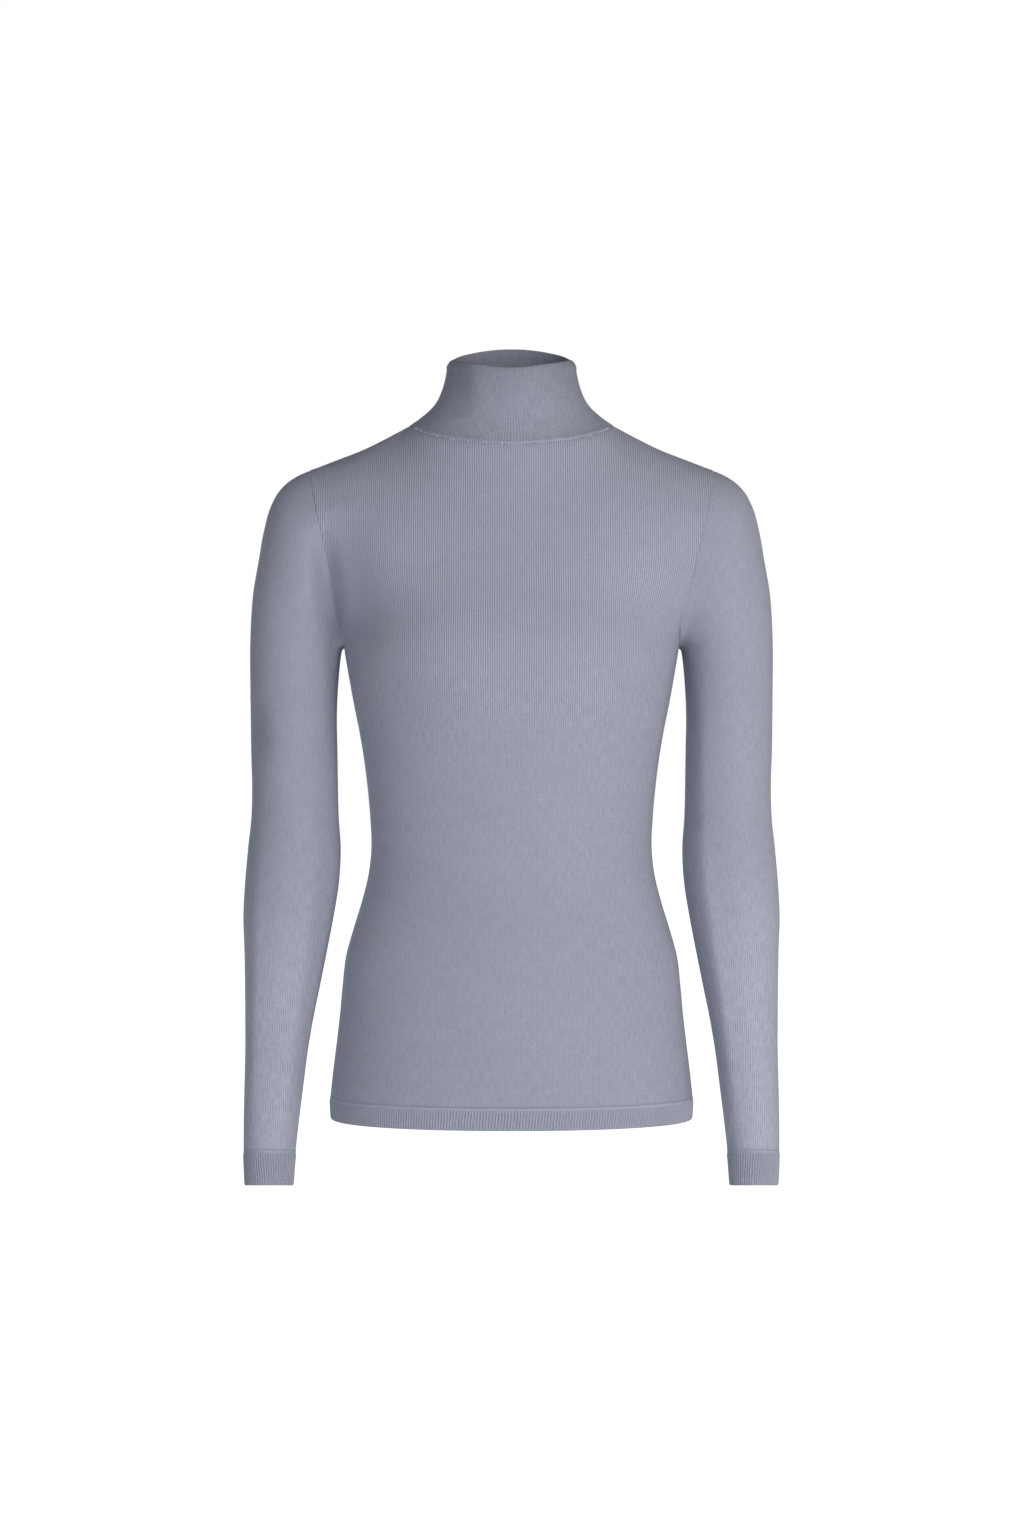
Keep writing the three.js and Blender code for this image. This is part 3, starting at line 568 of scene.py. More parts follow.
# Valleys along the armholes, which sink panel and sleeve alike, and low swellings of the
# sleeves: ends across and up, and how wide and deep they are (below 0 for a swelling)
VALLEYS = dict(
    front=rows_of(
        "x z wide deep",
        ((-154, -140), (-76, -212), 25, 12), ((-169, -149), (-92, -240), 10, 21),
        ((-231, -234), (-290, -668), 9, -4.5), ((-227, -235), (-298, -326), 11, -3),
        ((167, 151), (-84, -190), 13, 4.0), ((163, 167), (-205, -470), 10, -6.5),
        ((160, 203), (-330, -670), 9, -5.5), ((-163, -206), (-320, -670), 9, -4.5)),
    back=rows_of(
        "x z wide deep",
        ((-168, -151), (-74, -188), 19, 5.5), ((167, 150), (-80, -194), 22, 6.0)),
)


# Depths from the body's middle plane between which they set in
VALLEY_DEPTHS = (8, 40)


def sunk(surface):
    """The surface with its points in a valley moved towards the body's middle plane."""
    moved = surface.copy()
    for face, valleys in VALLEYS.items():
        share = smoothstep(TOWARDS[face] * surface[..., 1], *VALLEY_DEPTHS)
        for valley in valleys:
            along, beside = across_line(surface, valley)
            fade = np.cos(np.clip(np.abs(along - 0.5), 0, 0.5) * math.pi)
            depth = valley["deep"] * np.exp(-(beside / valley["wide"]) ** 2) * fade
            moved[..., 1] -= TOWARDS[face] * depth * share
    return moved


front = panel_grid("front")
back = panel_grid("back")
collar_steps = 2 * NECK_COLUMNS
collar_angles = np.arange(collar_steps) * 2 * math.pi / collar_steps
collar = np.stack([collar_ring(ring, collar_angles) for ring in COLLAR])
front_edge = front[BODY_ROWS:, -1]
back_edge = back[BODY_ROWS:, 0]
armhole_line = np.concatenate([front_edge, back_edge[1:-1][::-1]])
sleeve = sleeve_grid(armhole_line)

PANEL_FINE = 7
# How often each row of the yoke, from its last one down, is evened out
YOKE_EASING = {-1: 3, -2: 7, -3: 9, -4: 6, -5: 3}


def panel_surface(face, rows, columns):
    """A panel's fine points: below the top edge through the coarse grid, and on to the exact
    top edge in its own direction there."""
    own, other = (front, back) if face == "front" else (back, front)
    lower = own[:-1]
    first = run_on(lower[:, 0], lower[:, 1])
    last = run_on(lower[:, -1], lower[:, -2])
    first[:BODY_ROWS + 1] = other[:BODY_ROWS + 1, -2]
    last[:BODY_ROWS + 1] = other[:BODY_ROWS + 1, 1]
    lower = lower.copy()
    for row, passes in YOKE_EASING.items():
        for _ in range(passes):
            beside = lower[row, :-2] + lower[row, 2:]
            lower[row, 1:-1] = lower[row, 1:-1] / 2 + beside / 4
    padded = np.concatenate([first[:, None], lower, last[:, None]], axis=1)
    across = np.einsum("ijk,cj->ick", padded, spline_matrix(PANEL_COLUMNS + 1, columns))
    turns = columns * 2 / PANEL_COLUMNS - 1
    top = np.stack([top_point(face, u) for u in turns])
    pull = np.stack([top_direction(face, u) * top_pull(face, u) for u in turns])
    below = run_on(across[0], across[1])
    stack = np.concatenate([below[None], across, top[None], top[None] + pull / YOKE_ROWS])
    return spline_rows(stack, rows, last_rate=pull / YOKE_ROWS)


def panel_knit(fine, rows, columns):
    """Wales run straight up from the middle of the hem, and above the armholes they lie in
    planes along the body's centre."""
    up, across = lengths(fine, 0), lengths(fine, 1)
    middle = np.argmin(np.abs(columns - PANEL_COLUMNS / 2))
    knit_u = across - across[:, middle:middle + 1]
    level = np.argmin(np.abs(rows - (BODY_ROWS + ARMHOLE_ROWS)))
    order = np.argsort(fine[level, :, 0])
    base_x, base_u = fine[level, order, 0], knit_u[level, order]
    for i in range(level, len(rows)):
        x = fine[i, :, 0]
        past = x - np.clip(x, base_x[0], base_x[-1])
        knit_u[i] = np.interp(x, base_x, base_u) + past * np.sign(base_u[-1] - base_u[0])
    return np.stack([knit_u, up], axis=-1) * MM


SHOULDER_SEAM_EASE = 0.1


def panel_object(face):
    rows = steps(BODY_ROWS + ARMHOLE_ROWS + YOKE_ROWS, PANEL_FINE, close_end=True)
    columns = steps(PANEL_COLUMNS, PANEL_FINE, True, True)
    fine = sunk(panel_surface(face, rows, columns))
    normals = grid_normals(fine, False, 1)
    across, up = lengths(fine, 1), lengths(fine, 0)
    side = np.minimum(across, across[:, -1:] - across)
    top = up[-1:] - up
    at_shoulder = smoothstep(np.abs(columns * 2 / PANEL_COLUMNS - 1), NECK_SHARE,
                             NECK_SHARE + SHOULDER_SEAM_EASE)
    seam = np.minimum(seam_profile(side, "panel"), seam_profile(top, "shoulder") * at_shoulder)
    clear = smoothstep(np.minimum(side, top), 0, FOLD_CLEAR)
    folded = fold_heights(FOLDS[face], fine, normals) * clear
    outer = fine + normals * (seam + folded)[..., None]
    inner = fine + normals * (folded - CLOTH)[..., None]
    uvs = panel_knit(fine, rows, columns)
    lines = np.concatenate([outer, inner[::-1]])
    return wall_object(f"{face}_knit", lines, np.concatenate([uvs, uvs[::-1]]), False, False,
                       len(outer))


SLEEVE_FINE = 7


def head_wales(head, base_u, outer_line):
    """Wales of the sleeve's head run straight up from its last row, and turn over the
    shoulder with its outline."""
    x, outline = np.abs(head[..., 0]), head[:, outer_line]
    base, above = x[-1], x[:-1]
    reach = np.interp(-head[:-1, :, 2], -outline[:, 2], np.abs(outline[:, 0]))
    inmost = base.min()
    spread = inmost + (above - inmost) * (base[outer_line] - inmost) / (reach - inmost)
    wales = np.empty_like(above)
    for half in (slice(0, outer_line + 1), slice(outer_line, None)):
        order = np.argsort(base[half])
        wales[:, half] = np.interp(spread[:, half], base[half][order], base_u[half][order])
    return wales


def sleeve_object(name, hand):
    rows = steps(len(sleeve) - 1, SLEEVE_FINE, close_start=True)
    count = sleeve.shape[1]
    columns = np.arange(count * SLEEVE_FINE) / SLEEVE_FINE
    angles = np.arange(count) * 2 * math.pi / count
    cuff_next = arm_ring(CUFF_SEAM_Z - (UNDERARM["z"] - CUFF_SEAM_Z) / SLEEVE_ROWS, angles)
    fine = refine_ring(sleeve, rows, columns, last_row=cuff_next)
    fine = sunk(fine * (hand, 1, 1))
    normals = grid_normals(fine, True, -hand)
    down = lengths(fine, 0)
    closed = np.concatenate([fine, fine[:, :1]], axis=1)
    around = lengths(closed, 1)
    outer_line = around.shape[1] // 2
    knit_u = around - around[:, outer_line:outer_line + 1]
    head = np.argmin(np.abs(rows - len(HEAD_ANGLES_DEG)))
    knit_u[:head] = head_wales(closed[:head + 1], knit_u[head], outer_line)
    knit_v = np.concatenate([down[-1:] - down, (down[-1:] - down)[:, :1]], axis=1)
    underarm = np.minimum(around, around[:, -1:] - around)[:, :-1]
    seam = np.minimum(seam_profile(down, "sleeve"), seam_profile(underarm, "underarm"))
    folded = fold_heights(FOLDS[name], fine, normals) * smoothstep(down, 0, FOLD_CLEAR)
    outer = fine + normals * (seam + folded)[..., None]
    inner = fine + normals * (folded - CLOTH)[..., None]
    uvs = np.stack([knit_u, knit_v], axis=-1) * MM
    lines = np.concatenate([outer, inner[::-1]])
    return wall_object(f"{name}_knit", lines, np.concatenate([uvs, uvs[::-1]]), True, hand > 0,
                       len(outer))


COLLAR_FINE = 6
CREST_STEPS = 7
BASE_ROLL = dict(height=0.6, off=2.2, width=2.4)
BASE_TUCK = dict(depth=0.2, width=0.8)
COLLAR_SWELL = dict(height=0.7, below=3.5, width=3.0)
# How much of the step at the base is left in the middle, beside it and at the shoulders
COLLAR_PROUD = dict(middle=0.55, beside=1.0, shoulder=0.15)
# The rolled rim is rounder at the sides
RIM_ROUND = dict(height=1.2, inward=1.1, reach=2.4)
RIM_LIFT = dict(height=4.3, over=24, sag=0.5, turn=(-0.35, 0.45))
STEP_FADE = 9
# Where the base changes from middle to beside and on to shoulder, and the rim gets rounder,
# as shares of the collar's half width
BESIDE = (0.3, 0.7)
AT_SHOULDER = (0.82, 1)
ROUNDER = (0.6, 1)


def collar_surface():
    rows = steps(len(COLLAR) - 1, COLLAR_FINE, close_start=True)
    columns = np.arange(collar_steps * COLLAR_FINE) / COLLAR_FINE
    fine = refine_ring(collar, rows, columns, first_row=run_on(collar[0], collar[1]))
    angles = columns * 2 * math.pi / collar_steps
    up = lengths(fine, 0)
    off_middle = 1 - np.exp(-(np.sin(angles) / RIM_LIFT["sag"]) ** 2)
    beside_front = off_middle * smoothstep(np.cos(angles), *RIM_LIFT["turn"])
    lift = RIM_LIFT["height"] * beside_front * smoothstep(up - up[-1:], -RIM_LIFT["over"], 0)
    fine = fine + lift[..., None] * (0, 0, 1)
    return fine, angles


def collar_object():
    fine, angles = collar_surface()
    normals = grid_normals(fine, True, 1)
    up = lengths(fine, 0)
    roll = (up - BASE_ROLL["off"]) / BASE_ROLL["width"]
    proud = COLLAR_STEP * np.exp(-(up / STEP_FADE) ** 2)
    proud = proud + BASE_ROLL["height"] * np.exp(-roll * roll)
    proud = proud - BASE_TUCK["depth"] * np.exp(-(up / BASE_TUCK["width"]) ** 2)
    sideways = np.abs(np.sin(angles))
    share = mix(COLLAR_PROUD["middle"], COLLAR_PROUD["beside"], smoothstep(sideways, *BESIDE))
    proud = proud * mix(share, COLLAR_PROUD["shoulder"], smoothstep(sideways, *AT_SHOULDER))
    proud = proud + fold_heights(FOLDS["collar"], fine, normals)
    below_rim = up[-1:] - up
    swell = (below_rim - COLLAR_SWELL["below"]) / COLLAR_SWELL["width"]
    proud = proud + COLLAR_SWELL["height"] * np.exp(-swell * swell)
    rounder = smoothstep(sideways, *ROUNDER)
    proud = proud - RIM_ROUND["inward"] * rounder * np.exp(-(below_rim / RIM_ROUND["reach"]) ** 2)
    outer = fine + normals * proud[..., None]
    inner = fine - normals * COLLAR_WALL
    rise = unit(outer[-1] - outer[-3])
    turns = np.linspace(0, math.pi, CREST_STEPS + 2)[1:-1]
    middle = (outer[-1] + inner[-1]) / 2
    reach = (outer[-1] - inner[-1]) / 2
    high = rise * (COLLAR_CREST + RIM_ROUND["height"] * rounder)[:, None]
    crest = [middle + reach * math.cos(t) + high * math.sin(t) for t in turns]
    lines = np.concatenate([outer, crest, inner[::-1]])
    shares = np.arange(len(angles) + 1) / len(angles)
    over = np.concatenate([up, np.repeat(up[-1:], CREST_STEPS, axis=0), up[::-1]])
    over = np.concatenate([over, over[:, :1]], axis=1)
    wale_u = shares * COLLAR_WALES * WALE
    uvs = np.stack(np.broadcast_arrays(wale_u[None], over), axis=-1) * MM
    return wall_object("collar_knit", lines, uvs, True, False, len(outer) + CREST_STEPS // 2 + 1)


# Rib bands: a smooth course at the seam, then the ribs, which lean a little, and a round edge
RIB_STEPS = 8
RIB_ROWS = 12
RIB_FADE = 1.4
RIB_LEAN = 0.1
TOP_COURSE = dict(height=0.22, length=2.2)
EDGE_TURNS = (0.2, 0.4, 0.6, 0.8)
EDGE_ROUND = 0.5
# How much closer the rows lie at the seam, how blunt a rib is, and where the ribs start
RIB_ROW_SPREAD = 1.35
RIB_BLUNTNESS = 0.6
RIB_START = 0.6
RIB_END = -0.6
NEAR_EDGE = 0.95
HEM_PITCH = 2.6
CUFF_PITCH = 2.5


def rib_lines(place, normal_at, shares, length, ribs, pitch):
    """Outer lines from the seam to the edge, a rounded edge, and the inside, with the knit
    coordinates of each."""
    levels = np.linspace(0, 1, RIB_ROWS * 2 + 1) ** RIB_ROW_SPREAD
    lines, uvs = [], []
    for level in levels:
        down = level * length
        phase = shares * ribs + RIB_LEAN * down / pitch
        crown = (0.5 - 0.5 * np.cos(phase * 2 * math.pi)) ** RIB_BLUNTNESS
        start = TOP_COURSE["length"]
        fade = (smoothstep(down, start * RIB_START, start + RIB_FADE)
                * smoothstep(length - down, RIB_END, RIB_FADE))
        course = math.sin(min(down / TOP_COURSE["length"], 1) * math.pi) * TOP_COURSE["height"]
        raised = RIB_RISE * crown * fade + course
        lines.append(place(shares, level) + normal_at(shares, level) * raised[:, None])
        uvs.append(phase)
    edge, normals = place(shares, 1.0), normal_at(shares, 1.0)
    onward = unit(edge - place(shares, NEAR_EDGE))
    for turn in EDGE_TURNS:
        angle = turn * math.pi
        inward = (1 - math.cos(angle)) / 2 * RIB_WALL
        lines.append(edge - normals * inward + onward * EDGE_ROUND * math.sin(angle))
        uvs.append(uvs[-1])
    for level in levels[::-1]:
        lines.append(place(shares, level) - normal_at(shares, level) * RIB_WALL)
        uvs.append(shares * ribs + RIB_LEAN * level * length / pitch)
    down = np.concatenate([levels * length, [length] * len(EDGE_TURNS), levels[::-1] * length])
    return np.stack(lines), np.stack(uvs) * WALE, down


def band_object(name, place, normal_at, ribs, length, pitch, closed):
    shares = np.arange(ribs * RIB_STEPS + 1) / (ribs * RIB_STEPS)
    lines, knit_u, down = rib_lines(place, normal_at, shares, length, ribs, pitch)
    uvs = np.stack(np.broadcast_arrays(knit_u, down[:, None]), axis=-1) * MM
    if closed:
        lines = lines[:, :-1]
    outer_count = RIB_ROWS * 2 + 1 + len(EDGE_TURNS)
    return wall_object(name, lines, uvs, closed, True, outer_count)


def line_normals(place, shares, level, axis):
    along = place(shares + STEP, level) - place(shares - STEP, level)
    return unit(np.cross(along, axis))


def hem_object(face):
    def place(shares, level):
        z = mix(HEM_SEAM_Z, HEM_EDGE_Z, level)
        draw_in = HEM_DRAW_IN * level
        edge = dict(x=side_half(z) - draw_in, depth=0, z=z)
        centre = dict(depth=centre_depth[face](z) - draw_in, z=z)
        return arc_points(face, 2 * shares - 1, edge, centre, math.pi / 2)

    def normal_at(shares, level):
        inside = np.clip(shares, STEP, 1 - STEP)
        return line_normals(place, inside, level, (0, 0, 1))

    return band_object(f"hem_{face}_rib", place, normal_at, HEM_RIBS_PER_HALF,
                       HEM_SEAM_Z - HEM_EDGE_Z, HEM_PITCH, False)


def cuff_object(name):
    axis = unit(np.array((0, SLEEVE[0]["fall"], 1.0)))

    def place(shares, level):
        z = mix(CUFF_SEAM_Z, CUFF_EDGE_Z, level)
        return arm_ring(z, shares * 2 * math.pi, CUFF_DRAW_IN * level)

    def normal_at(shares, level):
        return line_normals(place, shares, level, axis)

    return band_object(name, place, normal_at, CUFF_RIBS, CUFF_SEAM_Z - CUFF_EDGE_Z, CUFF_PITCH,
                       True)


# Linking stitches: a row of small loops along a seam
LOOP_SIDES = 8
LOOP_RINGS = 4
LOOP_LEAN = 0.35
LOOP_UNEVEN = 0.35
LOOP_WAVES = (2.4, 1.7, 0.61)


def even_points(path, pitch):
    """Points a pitch apart along a path, with the direction of the path at each."""
    along = lengths(path[None], 1)[0]
    count = max(int(along[-1] / pitch), 1)
    at = (np.arange(count) + 0.5) * along[-1] / count
    where = np.stack([np.interp(at, along, path[:, k]) for k in range(3)], axis=-1)
    ahead = np.stack([np.interp(at + 0.5, along, path[:, k]) for k in range(3)], axis=-1)
    behind = np.stack([np.interp(at - 0.5, along, path[:, k]) for k in range(3)], axis=-1)
    return at, where, unit(ahead - behind)


def loops_mesh(runs, size):
    """Closed small loops in rows: each run is a path with its outward directions, one for
    each of its points. size is the loop's length across the seam, width along it, height."""
    tall, wide, thick = size["tall"], size["wide"], size["thick"]
    ring = np.arange(LOOP_SIDES) * 2 * math.pi / LOOP_SIDES
    polar = np.arange(1, LOOP_RINGS) * math.pi / LOOP_RINGS
    ball = [(0, 0, 1)]
    ball += [(math.sin(p) * math.cos(a), math.sin(p) * math.sin(a), math.cos(p))
             for p in polar for a in ring]
    ball = np.array(ball + [(0, 0, -1)])
    ball_faces = []
    last = len(ball) - 1
    for i in range(LOOP_SIDES):
        j = (i + 1) % LOOP_SIDES
        ball_faces.append([0, 1 + i, 1 + j])
        for r in range(LOOP_RINGS - 2):
            a = 1 + r * LOOP_SIDES
            ball_faces.append([a + i, a + LOOP_SIDES + i, a + LOOP_SIDES + j, a + j])
        a = 1 + (LOOP_RINGS - 2) * LOOP_SIDES
        ball_faces.append([a + i, last, a + j])
    vertices, faces, uvs = [], [], []
    for path, outward in runs:
        at, where, along = even_points(path, size["pitch"])
        place_of = lengths(path[None], 1)[0]
        out = np.stack([np.interp(at, place_of, outward[:, k]) for k in range(3)], axis=-1)
        out = unit(out - along * (out * along).sum(-1, keepdims=True))
        cross = np.cross(along, out)
        for i in range(len(at)):
            lean = LOOP_LEAN * (1 + 0.5 * math.sin(i * LOOP_WAVES[0]))
            grown = 1 + LOOP_UNEVEN * math.sin(i * LOOP_WAVES[1]) * math.sin(i * LOOP_WAVES[2])
            long_way = cross[i] + along[i] * lean
            body = ball[:, :1] * along[i] * wide + ball[:, 1:2] * long_way * tall
            body = where[i] + (body + ball[:, 2:] * out[i] * thick) / 2 * grown
            body = body + out[i] * size["proud"]
            start = sum(len(v) for v in vertices)
            vertices.append(body)
            faces += [[start + corner for corner in f] for f in ball_faces]
            uvs += [(at[i] * MM, 0.0)] * sum(len(f) for f in ball_faces)
    return np.concatenate(vertices), faces, uvs


def loops_object(name, runs, size):
    vertices, faces, uvs = loops_mesh(runs, size)
    return mesh_object(name, vertices, faces, uvs, [0] * len(faces))


NECK_LOOPS = dict(pitch=2.8, tall=3.9, wide=2.1, thick=1.0, proud=0.6)
SEAM_LOOPS = dict(pitch=2.9, tall=1.9, wide=1.1, thick=0.8, proud=-0.35)
# Where the linking shows at the neck: half the turn about the middle of the front and back
NECK_LOOPS_DEG = 74
NECK_LOOPS_ROW = 3
# Where it shows along each armhole: heights between which the loops come up
ARMHOLE_LOOPS = [(-60, -36), (-182, -156)]


def neck_runs():
    """Runs of loops on both sides of the middle of the front, and the same at the back."""
    fine, angles = collar_surface()
    normals = grid_normals(fine, True, 1)
    runs = []
    for middle in (0, math.pi):
        off = (angles - middle + math.pi) % (2 * math.pi) - math.pi
        near = np.flatnonzero(np.abs(off) < math.radians(NECK_LOOPS_DEG))
        near = near[np.argsort(off[near])]
        runs.append((fine[NECK_LOOPS_ROW][near], normals[NECK_LOOPS_ROW][near]))
    return runs


def armhole_runs(hand):
    rows = steps(len(sleeve) - 1, SLEEVE_FINE, close_start=True)[:4]
    columns = np.arange(sleeve.shape[1] * SLEEVE_FINE) / SLEEVE_FINE
    fine = sunk(refine_ring(sleeve, rows, columns) * (hand, 1, 1))
    line, outward = fine[0], grid_normals(fine, True, -hand)[0]
    half = len(line) // 2
    runs = []
    for low, high in ARMHOLE_LOOPS:
        shown = (line[:, 2] > low) & (line[:, 2] < high)
        for side in (slice(0, half), slice(half, None)):
            near = np.flatnonzero(shown[side]) + (side.start or 0)
            runs.append((line[near], outward[near]))
    return runs


pieces = {}
pieces["front"] = panel_object("front")
pieces["back"] = panel_object("back")
pieces["sleeve_left"] = sleeve_object("sleeve_left", 1)
pieces["sleeve_right"] = sleeve_object("sleeve_right", -1)
pieces["collar"] = collar_object()
pieces["hem_front"] = hem_object("front")
pieces["hem_back"] = hem_object("back")
pieces["cuff_left"] = cuff_object("cuff_left_rib")
pieces["cuff_right"] = mirror_x(pieces["cuff_left"], "cuff_right_rib")
linking = {
    "collar": loops_object("neck_linking", neck_runs(), NECK_LOOPS),
    "sleeve_left": loops_object("armhole_left_linking", armhole_runs(1), SEAM_LOOPS),
    "sleeve_right": loops_object("armhole_right_linking", armhole_runs(-1), SEAM_LOOPS),
}


# Materials

class Nodes:
    """Short names for adding shader nodes to one material."""

    def __init__(self, name):
        self.material = bpy.data.materials.new(name)
        self.material.use_nodes = True
        self.tree = self.material.node_tree
        self.shader = self.tree.nodes["Principled BSDF"]

    def add(self, kind, **values):
        node = self.tree.nodes.new(kind)
        for key, value in values.items():
            setattr(node, key, value)
        return node

    def link(self, source, target):
        self.tree.links.new(source, target)

    def put(self, value, socket):
        if isinstance(value, (int, float)):
            socket.default_value = value
        else:
            self.link(value, socket)

    def math(self, operation, *values):
        node = self.add("ShaderNodeMath", operation=operation)
        for value, socket in zip(values, node.inputs):
            self.put(value, socket)
        return node.outputs[0]

    def clamped_power(self, value, power):
        return self.math("POWER", self.math("MAXIMUM", value, 0.0), power)

    def tent(self, value, middle, half):
        """1 at the middle, 0 at half away from it and beyond."""
        off = self.math("ABSOLUTE", self.math("SUBTRACT", value, middle))
        return self.math("MAXIMUM", self.math("MULTIPLY_ADD", off, -1 / half, 1.0), 0.0)

    def noise(self, vector, scale, detail=2.0, roughness=0.5):
        node = self.add("ShaderNodeTexNoise")
        node.inputs["Scale"].default_value = scale
        node.inputs["Detail"].default_value = detail
        node.inputs["Roughness"].default_value = roughness
        self.link(vector, node.inputs["Vector"])
        return node.outputs["Fac"]

    def vector(self, x, y):
        node = self.add("ShaderNodeCombineXYZ")
        self.put(x, node.inputs[0])
        self.put(y, node.inputs[1])
        return node.outputs[0]

    def swing(self, value, by):
        """A factor about 1 that a value from 0 to 1 moves by up to the given share."""
        return self.math("MULTIPLY_ADD", value, 2 * by, 1 - by)


KNIT_COLOUR = (0.322, 0.332, 0.399)
WALE_M = WALE * MM
COURSE_M = COURSE * MM


# Scales and strengths of the yarn's fuzz, of its patches and speckle, and of its heathering
FUZZ = dict(scale=2400.0, height=0.3, distance=0.0004)
PATCHES = dict(scale=11.0, by=0.05)
SPECKLE = dict(scale=800.0, by=0.22)
HEATHER_SCALE = 420.0
HEATHER = dict(A=(1.03, 1.0, 0.965), B=(0.97, 1.0, 1.035))
SHADER_VALUES = {"Roughness": 0.95, "Specular IOR Level": 0.15, "Sheen Weight": 0.04,
                 "Sheen Roughness": 0.5}


def finish_yarn(n, colour, height, tone, place, bump):
    """Fuzz, heathered yarn colour and the shader values that all the knit shares."""
    fibre = n.noise(place, FUZZ["scale"], 3.0, 0.7)
    height = n.math("MULTIPLY_ADD", fibre, FUZZ["height"], height)
    bump_node = n.add("ShaderNodeBump")
    bump_node.inputs["Strength"].default_value = bump
    bump_node.inputs["Distance"].default_value = FUZZ["distance"]
    n.link(height, bump_node.inputs["Height"])
    n.link(bump_node.outputs[0], n.shader.inputs["Normal"])
    patches = n.noise(place, PATCHES["scale"], 2.0)
    tone = n.math("MULTIPLY", tone, n.swing(patches, PATCHES["by"]))
    speckle = n.noise(place, SPECKLE["scale"], 2.0, 0.7)
    tone = n.math("MULTIPLY", tone, n.swing(speckle, SPECKLE["by"]))
    heather = n.add("ShaderNodeMix", data_type="RGBA", blend_type="MIX")
    n.link(n.noise(place, HEATHER_SCALE, 2.0, 0.6), heather.inputs["Factor"])
    for end, factors in HEATHER.items():
        heather.inputs[end].default_value = (*[c * f for c, f in zip(colour, factors)], 1)
    shade = n.add("ShaderNodeVectorMath", operation="SCALE")
    n.link(heather.outputs["Result"], shade.inputs[0])
    n.link(tone, shade.inputs["Scale"])
    n.link(shade.outputs[0], n.shader.inputs["Base Color"])
    for socket, value in SHADER_VALUES.items():
        n.shader.inputs[socket].default_value = value
    return n.material


def knit_coordinates(n):
    uv = n.add("ShaderNodeUVMap", uv_map="knit").outputs[0]
    place = n.add("ShaderNodeTexCoord").outputs["Object"]
    split = n.add("ShaderNodeSeparateXYZ")
    n.link(uv, split.inputs[0])
    wale = n.math("DIVIDE", split.outputs[0], WALE_M)
    course = n.math("DIVIDE", split.outputs[1], COURSE_M)
    return place, wale, course


def jersey_material(name, colour, wale_tone, course_tone, bump):
    """Face of the jersey: each wale a column of loops with two slanting legs, set off by a
    line of painted shade, which is uneven where the cloth is slack. wale_tone holds the
    strength of the painted shade lines and how even they are, below and above a height, and
    how much paler the cloth is painted below it, as painted light."""
    n = Nodes(name)
    height = n.add("ShaderNodeSeparateXYZ")
    n.link(n.add("ShaderNodeTexCoord").outputs["Object"], height.inputs[0])
    taut_and_painted_light_mask = n.add("ShaderNodeMapRange", interpolation_type="SMOOTHSTEP")
    n.link(height.outputs[2], taut_and_painted_light_mask.inputs["Value"])
    for socket, value in zip(("From Min", "From Max"), wale_tone["between"]):
        taut_and_painted_light_mask.inputs[socket].default_value = value * MM
    taut_and_painted_light_mask = taut_and_painted_light_mask.outputs[0]
    place, wale, course = knit_coordinates(n)
    wale = n.math("MULTIPLY_ADD", n.noise(place, 45.0), 0.5, wale)
    across = n.math("ABSOLUTE", n.math("SUBTRACT", n.math("FRACT", wale), 0.5))
    crown = n.clamped_power(n.math("MULTIPLY_ADD", across, -2.0, 1.0), 0.6)
    leg = n.clamped_power(n.tent(across, 0.24, 0.26), 0.6)
    along = n.math("FRACT", n.math("MULTIPLY_ADD", across, 1.1, course))
    swell = n.clamped_power(n.tent(along, 0.5, 0.5), 0.5)
    loop = n.math("MULTIPLY", leg, n.math("MULTIPLY_ADD", swell, 0.5, 0.5))
    height = n.math("MULTIPLY_ADD", crown, 0.7, loop)
    line = n.vector(n.math("FLOOR", wale), n.math("MULTIPLY", course, 0.17))
    uneven = n.math("MULTIPLY_ADD", n.noise(line, 1.0, 1.0), 3.0, -0.5)
    uneven = n.math("MAXIMUM", uneven, 0.0)
    even = n.math("MULTIPLY", taut_and_painted_light_mask, wale_tone["even"])
    uneven = n.math("MULTIPLY_ADD", even, n.math("SUBTRACT", 1.0, uneven), uneven)
    # Painted shade: the grooves between the wales are painted darker and the crowns lighter.
    depth = n.math("MULTIPLY", n.math("SUBTRACT", 1.0, crown), uneven)
    depth = n.math("SUBTRACT", depth, 0.4)
    rise = wale_tone["high"] - wale_tone["low"]
    strength = n.math("MULTIPLY_ADD", taut_and_painted_light_mask, rise, wale_tone["low"])
    tone = n.math("SUBTRACT", 1.0, n.math("MULTIPLY", depth, strength))
    # Painted shade: each loop is painted lighter at its swell and darker between the courses.
    tone = n.math("MULTIPLY", tone, n.swing(swell, course_tone))
    # Painted light: below the height the cloth is painted paler, on the forearms and on the
    # collar's lower part.
    painted_light = n.math("MULTIPLY_ADD", taut_and_painted_light_mask, -wale_tone["painted_light"], 1 + wale_tone["painted_light"])
    tone = n.math("MULTIPLY", tone, painted_light)
    return finish_yarn(n, colour, height, tone, place, bump)


def purl_material(name, colour, bump):
    """Back of the jersey: rows of small bumps, half a wale apart from row to row."""
    n = Nodes(name)
    place, wale, course = knit_coordinates(n)
    row = n.math("FRACT", course)
    odd = n.math("FRACT", n.math("MULTIPLY", n.math("FLOOR", course), 0.5))
    bead = n.tent(n.math("FRACT", n.math("ADD", wale, odd)), 0.5, 0.5)
    arc = n.tent(row, 0.5, 0.5)
    height = n.clamped_power(n.math("MULTIPLY", bead, arc), 0.5)
    # Painted shade: the hollows between the bumps are painted darker.
    tone = n.math("MULTIPLY_ADD", height, 0.16, 0.84)
    return finish_yarn(n, colour, height, tone, place, bump)


